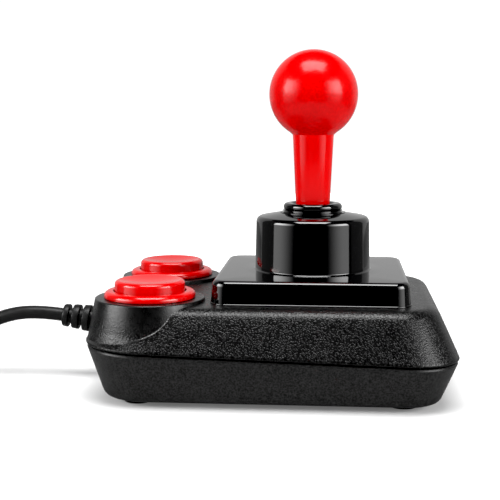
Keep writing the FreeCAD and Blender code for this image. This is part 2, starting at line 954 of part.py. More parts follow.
def make_fasteners():
    head = (d.screw_head_radius, d.screw_head_height)
    subparts.append(
        screws("case_screws", case_bosses, d.screw_radius, *head, d.case_screw_seat, d.case_screw_reach)
    )
    stick_posts = [(x + stick_x, y) for x, y in posts]
    tip = d.case_top + d.plate_thread
    subparts.append(screws("turret_screws", stick_posts, d.screw_radius, *head, d.frame_floor, tip))
    subparts.append(
        screws(
            "board_screws",
            board_corners,
            d.board_screw,
            d.board_screw_head,
            d.board_screw,
            board_top,
            floor_inside + d.run_gap,
            from_below=False,
        )
    )


# Cord: strain relief, free lead, coil, tail and plug

def make_strain_relief():
    ribs = 3
    body = new_body("strain_relief", x=relief_x, z=d.relief_height)
    sketch = new_sketch(body, "XZ_Plane")
    slope = (d.relief_root - d.relief_tip) / d.relief_length
    inside = d.relief_inside + d.relief_flange
    flange = d.relief_root
    points = [
        (inside, 0),
        (inside, flange),
        (d.relief_inside, flange),
        (d.relief_inside, d.relief_neck),
        (0, d.relief_neck),
        (0, d.relief_root),
    ]
    for rib in range(ribs):
        near = d.rib_first + d.rib_pitch * rib
        far = near + d.rib_slot
        near_radius, far_radius = d.relief_root - slope * near, d.relief_root - slope * far
        points += [(-near, near_radius), (-near, near_radius - d.rib_depth)]
        points += [(-far, far_radius - d.rib_depth), (-far, far_radius)]
    points += [(-d.relief_length, d.relief_tip), (-d.relief_length, 0)]
    polygon(sketch, points)
    feature = body.newObject("PartDesign::Revolution", "strain_relief_revolution")
    feature.Profile = sketch
    feature.ReferenceAxis = (sketch, ["H_Axis"])
    feature.Angle = 360
    body.Placement.Rotation = Rotation(Vector(0, 1, 0), num(d.relief_angle))
    bind(body, "Placement.Rotation.Angle", d.relief_angle)
    doc.recompute()
    subparts.append(body)


def tube_along(label, route, radius):
    """A plain round tube on straight runs joined by tangent arcs, each as large as its runs allow."""
    share = 0.45
    points = [Vector(*point) for point in route]
    edges, radii, start = [], [], points[0]
    for before, corner, after in zip(points, points[1:], points[2:]):
        back, ahead = before - corner, after - corner
        shorter = min(back.Length, ahead.Length)
        half_turn = (math.pi - back.getAngle(ahead)) / 2
        back.normalize()
        ahead.normalize()
        reach = share * shorter
        bend = reach / math.tan(half_turn)
        arc_start, arc_end = corner + back * reach, corner + ahead * reach
        inward = back + ahead
        inward.normalize()
        centre = corner + inward * math.hypot(bend, reach)
        middle = centre - inward * bend
        edges.append(Part.LineSegment(start, arc_start).toShape())
        edges.append(Part.Arc(arc_start, middle, arc_end).toShape())
        radii.append(round(bend, 1))
        start = arc_end
    edges.append(Part.LineSegment(start, points[-1]).toShape())
    path = Part.Wire(edges)
    first_run = points[1] - points[0]
    section = Part.Wire(Part.Circle(points[0], first_run, radius).toShape())
    solid = path.makePipeShell([section], True, True)
    drift = solid.Volume / (math.pi * radius**2 * path.Length) - 1
    print(label, "bend radii", radii, "length", round(path.Length, 1), "volume off by", round(drift, 5))
    tube = doc.addObject("Part::Feature", label)
    tube.Shape = solid
    subparts.append(tube)


def make_cord():
    radius = num(d.cord_diameter) / 2
    lean = math.radians(num(d.relief_angle))
    exit_x = num(relief_x) - num(d.relief_length) * math.cos(lean)
    exit_z = num(d.relief_height) + num(d.relief_length) * math.sin(lean)
    lead = [
        (exit_x, 0.0, exit_z),
        (-99.5, 0.0, 27.3),
        (-113.5, -0.5, 24.9),
        (-127.5, -1.5, 17.6),
        (-141.0, -2.0, 9.2),
        (-154.0, -1.0, 4.4),
        (-166.0, 0.0, num(d.tie_thick) + radius),
    ]
    tube_along("cord_lead", lead, radius)

    rows = 3
    width = d.cord_diameter * rows
    inner, outer = d.coil_middle - width / 2, d.coil_middle + width / 2
    coil_y = d.coil_middle + d.cord_diameter
    coil_low, coil_high = d.tie_thick, d.tie_thick + width
    ring = [(inner, coil_low), (outer, coil_low), (outer, coil_high), (inner, coil_high)]
    subparts.append(turned("cord_coil", ring, d.coil_x, coil_y))

    tie = new_body("cord_tie", d.coil_x + d.tie_width / 2, coil_y)
    frame = new_sketch(tie, "YZ_Plane")
    thick, slack = d.tie_thick, d.tie_slack
    middle = d.coil_middle - slack / 2
    rectangle(frame, width + slack + thick * 2, width + thick * 2, middle, coil_low + width / 2)
    rectangle(frame, width + slack, width, middle, coil_low + width / 2)
    pad(tie, frame, d.tie_width, reverse=True)
    subparts.append(tie)

    # The plug and the end of the cord lie on the coil.
    grip_x, grip_start = d.coil_x - d.coil_middle, coil_y - d.grip_back
    plug_middle = coil_high + d.grip_height / 2
    tail = [
        (-191.0, 13.0, num(coil_high) + radius),
        (-197.2, 21.0, 20.6),
        (num(grip_x), num(grip_start), num(plug_middle)),
    ]
    tube_along("cord_tail", tail, radius)
    grip_y = grip_start + d.grip_length / 2
    subparts.append(
        block("plug_grip", d.grip_width, d.grip_length, d.grip_height, grip_x, grip_y, coil_high)
    )
    shell_y = grip_start + d.grip_length
    shell = new_body("plug_shell", grip_x, shell_y)
    mouth = new_sketch(shell, "XZ_Plane")
    rectangle(mouth, d.plug_width, d.plug_height, 0, plug_middle)
    inside_width, inside_height = d.plug_width - d.plug_wall * 2, d.plug_height - d.plug_wall * 2
    rectangle(mouth, inside_width, inside_height, 0, plug_middle)
    pad(shell, mouth, d.plug_length, reverse=True)
    subparts.append(shell)
    insulator_length = d.plug_length - d.plug_wall
    subparts.append(
        block(
            "plug_insulator",
            inside_width,
            insulator_length,
            d.insulator_height,
            grip_x,
            shell_y + insulator_length / 2,
            plug_middle - inside_height / 2,
        )
    )


make_upper_shell()
make_lower_shell()
make_feet()
make_stick_turret()
make_dust_ring()
make_ball_handle()
make_steel_shaft()
make_e_clip()
make_actuator()
make_centering_rubber()
make_switch_frame()
for side, turn in (("right", 0), ("back", 90), ("left", 180), ("front", 270)):
    make_stick_switch(side, turn)
for side, y in buttons.items():
    make_button(side, y)
make_board()
make_fasteners()
make_strain_relief()
make_cord()
doc.recompute()

failed = [thing.Name for thing in doc.Objects if {"Invalid", "Error"} & set(thing.State)]
bad = [part.Label for part in subparts if part.Shape.isNull() or not part.Shape.isValid()]
if failed or bad:
    raise RuntimeError(f"failed features: {failed}, bad shapes: {bad}")
os.makedirs("parts", exist_ok=True)
for part in subparts:
    part.Shape.exportStep(f"parts/{part.Label}.step")
print(len(subparts), "pieces written")
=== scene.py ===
import json
import math

import bmesh
import bpy
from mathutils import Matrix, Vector


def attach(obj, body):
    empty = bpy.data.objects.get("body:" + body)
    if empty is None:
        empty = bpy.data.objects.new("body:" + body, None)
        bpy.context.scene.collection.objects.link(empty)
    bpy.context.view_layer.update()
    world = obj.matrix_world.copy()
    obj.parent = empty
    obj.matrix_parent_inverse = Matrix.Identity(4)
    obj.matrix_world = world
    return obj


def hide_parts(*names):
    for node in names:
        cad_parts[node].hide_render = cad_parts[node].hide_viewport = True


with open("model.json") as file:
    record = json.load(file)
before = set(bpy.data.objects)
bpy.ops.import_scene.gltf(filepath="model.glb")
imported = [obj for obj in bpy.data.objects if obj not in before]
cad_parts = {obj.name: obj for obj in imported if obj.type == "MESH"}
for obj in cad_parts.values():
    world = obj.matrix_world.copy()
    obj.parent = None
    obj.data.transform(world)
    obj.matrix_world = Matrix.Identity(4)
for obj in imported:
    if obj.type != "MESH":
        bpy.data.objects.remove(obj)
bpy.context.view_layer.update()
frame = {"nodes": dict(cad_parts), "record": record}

# Two-button joystick controller: its looks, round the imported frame.
# Shapes are drawn in millimetres and become metres in add_mesh.

MM = 0.001
FULL_TURN, QUARTER_TURN = 360, 90
nodes = frame["nodes"]

# Turned lines end this far from their axis, so that no ring shrinks to a point
AXIS = 0.02
# Edges that turn by more than this many degrees are shaded crisp
SHARP, UPPER_SHARP, LOWER_SHARP = 32.0, 25.0, 28.0

# Case
CASE_LENGTH, CASE_WIDTH = 141.0, 108.0
CASE_TOP, CASE_BOTTOM = 37.5, 2.0
CASE_CORNER, BUTTON_CORNER = 20.0, 24.0
TOP_CORNER, TOP_BUTTON_CORNER = 24.5, 32.5
TOP_INSET, BOTTOM_INSET, BOTTOM_RUN = 8.5, 7.0, 6.0
TOP_ROUND, BOTTOM_ROUND = 6.0, 4.0
PARTING, PARTING_TILT = 20.5, math.radians(1.7)
WALL, GAP = 2.2, 0.6
RIM_BAND, RIM_SHOULDER, RIM_STEP = 1.0, 0.4, 0.12
LOWER_STEP = 0.5
TONGUE_INSET, TONGUE_WALL, TONGUE_RISE, TONGUE_DEPTH = 3.4, 1.2, 1.6, 4.0
HOLLOW_START, HOLLOW_LENGTH = -42.0, 20.0
CUT_DEPTH, CUT_OVER = 8.0, 2.0

# Rounded edges of both halves at the parting gap, as steps of how far in and how far from the gap
UPPER_EDGE = ((0.45, 0.0), (0.14, 0.14), (0.0, 0.45))
LOWER_EDGE = ((0.0, 0.9), (0.08, 0.5), (0.3, 0.2), (0.8, 0.0))
# The wall's hollow by the lobes: a share of the wall's height, and how far its foot is drawn in for it
WALL_HOLLOW = ((0.03, 0.35), (0.08, 0.75), (0.16, 1.05), (0.3, 1.0), (0.5, 0.6), (0.75, 0.2))
LOWER_SHARES = (0.1, 0.4, 0.7, 0.95)

# Screw recesses and feet
SCREW_LEFT, SCREW_RIGHT, SCREW_Y = 29.0, 15.0, 40.0
SCREW_RADIUS, SCREW_OVER = 3.1, 1.0
FOOT_X, FOOT_Y = 50.0, 35.0
FOOT_TOP_RADIUS, FOOT_RADIUS, FOOT_ROUND = 6.5, 5.2, 0.5
FOOT_RIM, FOOT_DISH_RADIUS, FOOT_DISH = 4.0, 3.5, 0.25

# Lobes and fire buttons
BUTTON_X, BUTTON_Y = -46.3, 28.0
LOBE_TOP, LOBE_FLARE, LOBE_BOTTOM = 38.9, 28.2, 23.4
LOBE_RADIUS, LOBE_WAIST, LOBE_FOOT = 20.9, 22.9, 24.2
LOBE_ROUND, FLARE_ROUND, ROOM_OVER = 0.6, 10.0, 6.0
COLLAR_RADIUS, COLLAR_TOP, COLLAR_ROUND, COLLAR_FALL = 17.5, 41.6, 2.0, 0.1
COLLAR_EDGE, COLLAR_SEAT, COLLAR_GUIDE = 0.25, 0.1, 3.7
NECK_RADIUS, NECK_BOTTOM, NECK_WALL, NECK_CLEARANCE = 15.8, 24.2, 1.2, 0.2
CAP_RADIUS, CAP_TOP, CAP_ROUND, CAP_CLEARANCE = 13.5, 45.6, 1.6, 0.4
CAP_DRAFT, CAP_CROWN, CAP_RIM, CAP_DISH = 0.1, 0.05, 1.9, 1.5
CAP_SKIRT, CAP_POINT = 4.0, 10.0

# Stick, on its plate and turret
STICK_X, STICK_MOUTH = 15.0, 14.5
PLATE_SIDE, PLATE_CORNER, PLATE_TOP = 75.6, 7.0, 46.5
PLATE_DRAFT, PLATE_ROUND, PLATE_RUN = math.radians(4.6), 2.5, 4.0
# The lip at the plate's foot, as steps of how far in and how high, and rings that keep its wall flat
PLATE_LIP = ((0.1, 0.0), (0.0, 0.1), (0.0, 0.3), (0.06, 0.4), (0.2, 0.5))
PLATE_SHARES = (0.1, 0.9)
TURRET_RADIUS, TURRET_TOP, TURRET_EDGE = 22.95, 69.3, 2.2
TURRET_DRAFT, TURRET_RISE, TURRET_RUN = 0.45, 1.9, 6.0
TURRET_FOOT_ROUND, TURRET_SEAT_ROUND = 0.7, 0.3
TURRET_MOUTH, MOUTH_DEPTH = 8.2, 6.0
TURRET_BORE, BORE_DEPTH = 17.0, 7.0
RING_RADIUS, RING_HOLE, RING_HEIGHT = 11.7, 7.3, 3.6
RING_FLANGE, RING_SINK, RING_FOOT_HOLE = 1.3, 0.3, 0.3
BEAD_FOOT, BEAD_TOP, BEAD_ROUND = 0.12, 0.8, 0.3
BEAD_FOOT_INSET, BEAD_TOP_INSET = 0.25, 0.15
RING_GROOVE_INSET, RING_GROOVE_HALF, RING_GROOVE_ROUND = 1.1, 0.08, 0.1
RING_LOW_ROUND, RING_HIGH_ROUND = 1.2, 1.5
RING_MOUTH, RING_MOUTH_ROUND = 0.8, 1.7
RING_DISH, RING_DISH_HEIGHT, RING_DISH_ROUND = 0.2, 1.8, 0.6
BALL_RADIUS, BALL_HEIGHT, BALL_STEPS = 17.5, 115.7, 60
HANDLE_FOOT, HANDLE_RADIUS, HANDLE_ROUND = 66.9, 6.5, 0.5
BALL_NECK_ANGLE, BALL_NECK_EASE = math.radians(28.0), 0.03
BALL_NECK_INSET, BALL_NECK_DROP, BALL_NECK_TURN = 0.1, 1.2, 0.35

# Strain relief and cord
RELIEF_X, RELIEF_Z = -71.4, 23.8
RELIEF_LENGTH, RELIEF_LEAN = 16.0, math.radians(7.0)
RELIEF_RADIUS, RELIEF_NECK, RELIEF_TIP, RELIEF_TIP_ROUND = 5.9, 4.5, 4.5, 0.8
RELIEF_FLANGE_NEAR, RELIEF_FLANGE_FAR = 7.0, 8.9
GROOVES, GROOVE_START, GROOVE_PITCH = 3, 3.1, 4.4
GROOVE_WIDTH, GROOVE_DEPTH, GROOVE_ROUND, RIB_ROUND = 1.5, 1.7, 0.2, 0.4
CORD_DIAMETER = 5.5
COIL_X, COIL_Y, COIL_LOW, COIL_RADIUS = -172.0, 34.5, 0.8, 34.5
COIL_COLUMNS, COIL_LAYERS, COIL_TURNS = 3, 3, 9.1
COIL_POINTS, COIL_CHANGE = 16, 0.75

# Painted highlight along the edge of the grain at the lobes, standing in for light caught by a rounded edge
EDGE_HIGHLIGHT_WIDTH, EDGE_HIGHLIGHT_START, PAINTED_EDGE_HIGHLIGHT = 0.22, 4.0, 0.15

# Studio: places in metres, and turns in degrees about the stick from the player's side towards +X
CAMERA_PLACE = Vector((24.1, -430.4, 111.4)) * MM
CAMERA_TURN, CAMERA_DOWN = math.radians(4.553), math.radians(7.643)
CAMERA_LENS, CAMERA_SENSOR, CAMERA_NEAREST = 77.66, 36.0, 0.01
LEFT_BOX, RIGHT_BOX = -58.0, 53.0
BOX_AWAY, BOX_WIDTH, BOX_LOW, BOX_HIGH = 0.9, 0.8, -0.14, 0.64
BOX_LIGHT, BOX_FADE = 17.0, 0.75
SKIRT_SHARE, SKIRT_LOW, SKIRT_HIGH = 0.15, 0.06, 0.26
OVERHEAD_LIGHT, OVERHEAD_SIZE = 17.0, (0.72, 0.48)
OVERHEAD_Y, OVERHEAD_HEIGHT, OVERHEAD_AIM = -0.2, 1.0, 0.05
ROOM_LIGHT, BACKDROP_LIGHT, BLACK_LEVEL = 0.015, 1.05, 0.004
FLOOR_NEAR, FLOOR_FAR, FLOOR_STEP = 0.31, 0.95, 3
FLOOR_SEEN, FLOOR_MIRRORED, FLOOR_BOUNCE = 0.55, 0.17, 0.85
FLOOR_MOTTLE, FLOOR_SPOTS = 0.97, 3.0
FLOOR_GLOW, GLOW_START, GLOW_END = 0.12, 0.15, 0.4
BACK_CARD, SIDE_CARD = 121, 84
BACK_GLOW, SIDE_GLOW = 0.66, 0.13
CARD_LOW, CARD_HIGH, CARD_STEPS = -0.15, 0.9, 24
PAPER_ROUGHNESS = 0.9


# Mesh helpers

def add_mesh(name, points, faces):
    """A smooth-shaded mesh piece from points in millimetres, with its sharp edges kept crisp."""
    mesh = bpy.data.meshes.new(name)
    mesh.from_pydata([Vector(p) * MM for p in points], [], faces)
    shape = bmesh.new()
    shape.from_mesh(mesh)
    bmesh.ops.recalc_face_normals(shape, faces=shape.faces)
    shape.to_mesh(mesh)
    shape.free()
    piece = bpy.data.objects.new(name, mesh)
    bpy.context.scene.collection.objects.link(piece)
    shade(piece, SHARP)
    return piece


def shade(piece, sharp):
    piece.data.shade_smooth()
    piece.data.set_sharp_from_angle(angle=math.radians(sharp))


def loft(name, rings, loop=False):
    """A skin over rings of equally many points. It is capped at both ends, or closed on itself."""
    count = len(rings[0])
    points = [p for ring in rings for p in ring]
    faces = []
    for i in range(len(rings) if loop else len(rings) - 1):
        low, high = i * count, (i + 1) % len(rings) * count
        for j in range(count):
            k = (j + 1) % count
            faces.append((low + j, low + k, high + k, high + j))
    if not loop:
        faces.append(tuple(range(count)))
        faces.append(tuple(range(len(points) - count, len(points))))
    return add_mesh(name, points, faces)


def rounded(corners, steps):
    """A line through (u, v) corners, with an arc at each corner that also gives a radius."""
    line = []
    for i, corner in enumerate(corners):
        here = Vector(corner[:2])
        if len(corner) == 2:
            line.append(here)
            continue
        back = (Vector(corners[i - 1][:2]) - here).normalized()
        ahead = (Vector(corners[(i + 1) % len(corners)][:2]) - here).normalized()
        half = back.angle(ahead) / 2
        centre = here + (back + ahead).normalized() * corner[2] / math.sin(half)
        reach = corner[2] / math.tan(half)
        start, end = here + back * reach - centre, here + ahead * reach - centre
        turn = start.angle_signed(end)
        for step in range(steps + 1):
            angle = -turn * step / steps
            cos, sin = math.cos(angle), math.sin(angle)
            line.append(centre + Vector((start.x * cos - start.y * sin, start.x * sin + start.y * cos)))
    return line


def turned(name, profile, x, y, count=128, loop=False):
    """A piece turned about an upright axis from a line of (radius, height) points."""
    rings = []
    for radius, height in profile:
        ring = []
        for j in range(count):
            angle = math.tau * j / count
            ring.append((x + radius * math.cos(angle), y + radius * math.sin(angle), height))
        rings.append(ring)
    return loft(name, rings, loop)


def outline(inset, length=CASE_LENGTH, width=CASE_WIDTH, right=CASE_CORNER, left=BUTTON_CORNER):
    """A rounded rectangle in plan, drawn in by the inset, with its own corners at each end."""
    side_steps, corner_steps, least_radius = 24, 12, 0.2
    x, y = length / 2 - inset, width / 2 - inset
    arcs = []
    for quarter, (side_x, side_y) in enumerate(((1, -1), (1, 1), (-1, 1), (-1, -1))):
        radius = max((right if side_x > 0 else left) - inset, least_radius)
        centre = Vector((side_x * (x - radius), side_y * (y - radius)))
        arc = []
        for step in range(corner_steps + 1):
            angle = math.radians(QUARTER_TURN * (quarter - 1) + QUARTER_TURN * step / corner_steps)
            arc.append(centre + Vector((math.cos(angle), math.sin(angle))) * radius)
        arcs.append(arc)
    points = []
    for quarter, arc in enumerate(arcs):
        end = arcs[(quarter + 1) % len(arcs)][0]
        points += arc[:-1] + [arc[-1].lerp(end, step / side_steps) for step in range(side_steps)]
    return points


def level(points, z):
    return [Vector((p.x, p.y, z)) for p in points]


def tilted(points, z):
    """The points on the parting plane, lifted or lowered to z at the case's middle."""
    cos, sin = math.cos(PARTING_TILT), math.sin(PARTING_TILT)
    return [Vector((p.x * cos, p.y, z - p.x * sin)) for p in points]


def between(first, last, share):
    return [a.lerp(b, share) for a, b in zip(first, last)]


def smooth(share):
    """A soft step from nought to one."""
    share = min(max(share, 0.0), 1.0)
    return share * share * (3 - 2 * share)


def eased(wall_foot, edge, inner, radius, steps=8):
    """Rings that round the edge between a sloping wall and the flat that runs in from it."""
    rings = [[] for _ in range(steps + 1)]
    for foot, corner, flat in zip(wall_foot, edge, inner):
        back, ahead = (foot - corner).normalized(), (flat - corner).normalized()
        reach = radius / math.tan(back.angle(ahead) / 2)
        start, end = corner + back * reach, corner + ahead * reach
        for step, ring in enumerate(rings):
            share = step / steps
            rest = 1 - share
            ring.append(start * rest**2 + corner * 2 * share * rest + end * share**2)
    return rings


def cylinder(radius, x, y, low, high):
    return turned("tool", [(radius, low), (radius, high)], x, y, count=96)


def combine(piece, tool, operation):
    """Joins or cuts a piece with a tool mesh, which is used up."""
    change = piece.modifiers.new("change", "BOOLEAN")
    change.operation = operation
    change.solver = "EXACT"
    change.object = tool
    bpy.context.view_layer.update()
    graph = bpy.context.evaluated_depsgraph_get()
    result = bpy.data.meshes.new_from_object(piece.evaluated_get(graph))
    piece.modifiers.clear()
    piece.data = result
    bpy.data.objects.remove(tool)


# Material helpers. A texture's scale is in spots a metre.

def shader(name, colour, roughness):
    """A material and the means to add nodes to it: its tree, its surface node and object coordinates."""
    material = bpy.data.materials.new(name)
    material.use_nodes = True
    tree = material.node_tree
    surface = tree.nodes["Principled BSDF"]
    surface.inputs["Base Color"].default_value = (*colour, 1.0)
    surface.inputs["Roughness"].default_value = roughness
    place = tree.nodes.new("ShaderNodeTexCoord").outputs["Object"]
    return material, tree, surface, place


def noise(tree, place, scale, detail=3.0):
    node = tree.nodes.new("ShaderNodeTexNoise")
    node.inputs["Scale"].default_value = scale
    node.inputs["Detail"].default_value = detail
    node.inputs["Roughness"].default_value = 0.55
    tree.links.new(place, node.inputs["Vector"])
    return node.outputs["Fac"]


def ranged(tree, value, start, end, low, high, blend="LINEAR", clamp=True):
    """A value that goes from low to high as another goes from start to end."""
    node = tree.nodes.new("ShaderNodeMapRange")
    node.interpolation_type = blend
    node.clamp = clamp
    node.inputs["From Min"].default_value = start
    node.inputs["From Max"].default_value = end
    node.inputs["To Min"].default_value = low
    node.inputs["To Max"].default_value = high
    tree.links.new(value, node.inputs["Value"])
    return node.outputs["Result"]


def spread(tree, texture, low, high, start=0.3, end=0.7):
    """Maps a texture's middle range onto low to high."""
    return ranged(tree, texture, start, end, low, high)


def faded(tree, value, start, end, low=0.0, high=1.0):
    """A soft step of a value, from low at the start to high at the end."""
    return ranged(tree, value, start, end, low, high, blend="SMOOTHSTEP")


def tint(tree, value, dark, light):
    node = tree.nodes.new("ShaderNodeMix")
    node.data_type = "RGBA"
    node.inputs["A"].default_value = (*dark, 1.0)
    node.inputs["B"].default_value = (*light, 1.0)
    tree.links.new(value, node.inputs["Factor"])
    return node


def colour_by(tree, surface, value, dark, light):
    """Varies a surface's colour from dark to light with a value."""
    tree.links.new(tint(tree, value, dark, light).outputs["Result"], surface.inputs["Base Color"])


def roughen(tree, surface, texture, low, high):
    """Varies a surface's roughness from low to high with a texture."""
    tree.links.new(spread(tree, texture, low, high), surface.inputs["Roughness"])


def bump(tree, surface, height, strength, depth, below=None):
    """Raises a surface by a texture, up to a depth in millimetres, over another bump if one is given."""
    node = tree.nodes.new("ShaderNodeBump")
    node.inputs["Strength"].default_value = strength
    node.inputs["Distance"].default_value = depth * MM
    tree.links.new(height, node.inputs["Height"])
    if below is not None:
        tree.links.new(below, node.inputs["Normal"])
    tree.links.new(node.outputs["Normal"], surface.inputs["Normal"])
    return node.outputs["Normal"]


def arithmetic(tree, operation, first, second):
    """The result of one step of arithmetic on two values."""
    node = tree.nodes.new("ShaderNodeMath")
    node.operation = operation
    tree.links.new(first, node.inputs[0])
    tree.links.new(second, node.inputs[1])
    return node.outputs["Value"]


def vector_step(tree, operation, vector, by=None):
    """A node with one step of vector arithmetic."""
    node = tree.nodes.new("ShaderNodeVectorMath")
    node.operation = operation
    tree.links.new(vector, node.inputs[0])
    if by is not None:
        node.inputs[1].default_value = by
    return node


def height_of(tree, place):
    node = tree.nodes.new("ShaderNodeSeparateXYZ")
    tree.links.new(place, node.inputs["Vector"])
    return node.outputs["Z"]


# Materials

def pebbles(tree, place):
    """The height of a leather grain: uneven round beads under a millimetre across."""
    warp_by = 0.6 * MM
    valley, crown = 0.62, 0.14
    warp = tree.nodes.new("ShaderNodeTexNoise")
    warp.inputs["Scale"].default_value = 900.0
    warp.inputs["Detail"].default_value = 2.0
    tree.links.new(place, warp.inputs["Vector"])
    shift = vector_step(tree, "MULTIPLY_ADD", warp.outputs["Color"], (warp_by, warp_by, warp_by))
    tree.links.new(place, shift.inputs[2])
    cells = tree.nodes.new("ShaderNodeTexVoronoi")
    cells.feature = "SMOOTH_F1"
    cells.inputs["Scale"].default_value = 1600.0
    cells.inputs["Smoothness"].default_value = 0.3
    tree.links.new(shift.outputs["Vector"], cells.inputs["Vector"])
    return faded(tree, cells.outputs["Distance"], valley, crown)


def edge_highlight_mask(tree, place):
    """One in a thin band where the case's wall meets a lobe, and nought away from it: the mask of a painted
    highlight along the grain's edge.
    """
    along = vector_step(tree, "SUBTRACT", place, (BUTTON_X * MM, 0.0, 0.0)).outputs["Vector"]
    folded = vector_step(tree, "ABSOLUTE", along).outputs["Vector"]
    beside = vector_step(tree, "SUBTRACT", folded, (0.0, BUTTON_Y * MM, 0.0)).outputs["Vector"]
    flat = vector_step(tree, "MULTIPLY", beside, (1.0, 1.0, 0.0)).outputs["Vector"]
    reach = vector_step(tree, "LENGTH", flat).outputs["Value"]
    height = height_of(tree, place)
    foot, top = LOBE_FLARE * MM, LOBE_TOP * MM
    lobe = ranged(tree, height, foot, top, LOBE_WAIST * MM, LOBE_RADIUS * MM, clamp=False)
    past = arithmetic(tree, "SUBTRACT", reach, lobe)
    band = faded(tree, past, EDGE_HIGHLIGHT_WIDTH * MM, EDGE_HIGHLIGHT_WIDTH / 2 * MM)
    below_top = faded(tree, height, CASE_TOP * MM, (CASE_TOP - EDGE_HIGHLIGHT_START) * MM)
    return arithmetic(tree, "MULTIPLY", band, below_top)


def grain_black():
    """Moulded leather grain in black, its colour darker in the valleys and lighter on the crowns as painted
    shade and highlight, with a painted highlight along the edge round the lobes that the grain breaks up.
    """
    material, tree, surface, place = shader("grain_black", (0.004, 0.004, 0.0042), roughness=0.3)
    surface.inputs["Specular IOR Level"].default_value = 0.24
    pebble = pebbles(tree, place)
    coarse = bump(tree, surface, pebble, strength=0.6, depth=0.1)
    bump(tree, surface, noise(tree, place, scale=3200.0), strength=0.2, depth=0.03, below=coarse)
    # Painted shade and highlight: the colour is darker in the grain's valleys and lighter on its crowns
    colour = tint(tree, pebble, (0.0003, 0.0003, 0.0003), (0.006, 0.006, 0.0062)).outputs["Result"]
    # Painted highlight: a light band along the edge where the wall meets the lobes, broken up by the grain
    broken_highlight = arithmetic(tree, "MULTIPLY", edge_highlight_mask(tree, place), spread(tree, pebble, low=0.3, high=1.0))
    edge_highlighted = tint(tree, broken_highlight, (0.0, 0.0, 0.0), (PAINTED_EDGE_HIGHLIGHT, PAINTED_EDGE_HIGHLIGHT, PAINTED_EDGE_HIGHLIGHT))
    tree.links.new(colour, edge_highlighted.inputs["A"])
    tree.links.new(edge_highlighted.outputs["Result"], surface.inputs["Base Color"])
    roughen(tree, surface, noise(tree, place, scale=260.0), low=0.26, high=0.33)
    return material


def satin_surface(name, roughness, sheen):
    """Finely spark-eroded satin plastic, with what it takes to add to it."""
    material, tree, surface, place = shader(name, (0.004, 0.004, 0.0042), roughness)
    surface.inputs["Specular IOR Level"].default_value = sheen
    fine = bump(tree, surface, noise(tree, place, scale=5200.0, detail=2.0), strength=0.3, depth=0.04)
    spots = noise(tree, place, scale=1300.0, detail=2.0)
    speckled = bump(tree, surface, spots, strength=0.35, depth=0.06, below=fine)
    roughen(tree, surface, noise(tree, place, scale=420.0), low=roughness - 0.04, high=roughness + 0.05)
    return material, tree, surface, place, speckled


def satin_black():
    """The lower half's satin, with a fine speckle in its colour."""
    material, tree, surface, place, _ = satin_surface("satin_black", roughness=0.36, sheen=0.21)
    spots = noise(tree, place, scale=1500.0, detail=2.0)
    speckle = spread(tree, spots, low=0.0, high=1.0, start=0.35, end=0.65)
    colour_by(tree, surface, speckle, dark=(0.001, 0.001, 0.001), light=(0.015, 0.015, 0.015))
    return material


def lobe_black():
    """The lobes' satin, on which the case's grain grows from nothing at the top to full at the foot."""
    material, tree, surface, place, speckled = satin_surface("lobe_black", roughness=0.29, sheen=0.29)
    low = faded(tree, height_of(tree, place), LOBE_TOP * MM, LOBE_BOTTOM * MM)
    grain = arithmetic(tree, "MULTIPLY", pebbles(tree, place), low)
    bump(tree, surface, grain, strength=0.6, depth=0.1, below=speckled)
    # Painted shade and highlight: the colour is darker in the grain's valleys and lighter on its crowns, from
    # nothing at the top to full at the foot
    colour_by(tree, surface, grain, dark=(0.001, 0.001, 0.001), light=(0.009, 0.009, 0.0092))
    return material


def gloss_black():
    """Polished black plastic with a trace of handling on it."""
    material, tree, surface, place = shader("gloss_black", (0.004, 0.004, 0.0045), roughness=0.1)
    bump(tree, surface, noise(tree, place, scale=60.0, detail=2.0), strength=0.02, depth=0.4)
    roughen(tree, surface, noise(tree, place, scale=150.0, detail=5.0), low=0.05, high=0.09)
    haze = noise(tree, place, scale=35.0, detail=4.0)
    colour_by(tree, surface, haze, dark=(0.0008, 0.0008, 0.0009), light=(0.0014, 0.0014, 0.0015))
    return material


def red_plastic(name, red, roughness, sheen, texture, scale):
    """Red moulded plastic, with a fine skin of that scale and strength of texture in its shape and colour."""
    material, tree, surface, place = shader(name, (0.6, 0.002, 0.003), roughness)
    surface.inputs["Specular IOR Level"].default_value = sheen
    skin = noise(tree, place, scale, detail=2.0)
    bump(tree, surface, skin, texture, depth=0.06)
    least_uneven, texture_share = 0.02, 9
    uneven = least_uneven + texture / texture_share
    deep, pale = (red * (1 - uneven), 0.0008, 0.001), (red * (1 + uneven), 0.001, 0.0014)
    colour_by(tree, surface, spread(tree, skin, low=0.0, high=1.0), deep, pale)
    worn = noise(tree, place, scale=300.0, detail=4.0)
    roughen(tree, surface, worn, low=roughness - 0.02, high=roughness + 0.03)
    return material


def black_rubber():
    material, tree, surface, place = shader("black_rubber", (0.005, 0.005, 0.005), roughness=0.4)
    surface.inputs["Specular IOR Level"].default_value = 0.2
    bump(tree, surface, noise(tree, place, scale=2600.0), strength=0.25, depth=0.06)
    dust = noise(tree, place, scale=160.0, detail=5.0)
    colour_by(tree, surface, dust, dark=(0.003, 0.003, 0.003), light=(0.006, 0.006, 0.006))
    roughen(tree, surface, noise(tree, place, scale=500.0), low=0.34, high=0.46)
    return material


def moulded(name, dark, light):
    """Plain moulded plastic for the pieces inside and on the cord."""
    material, tree, surface, place = shader(name, light, roughness=0.5)
    surface.inputs["Specular IOR Level"].default_value = 0.25
    bump(tree, surface, noise(tree, place, scale=3000.0, detail=2.0), strength=0.2, depth=0.05)
    colour_by(tree, surface, noise(tree, place, scale=200.0), dark, light)
    roughen(tree, surface, noise(tree, place, scale=600.0), low=0.42, high=0.56)
    return material


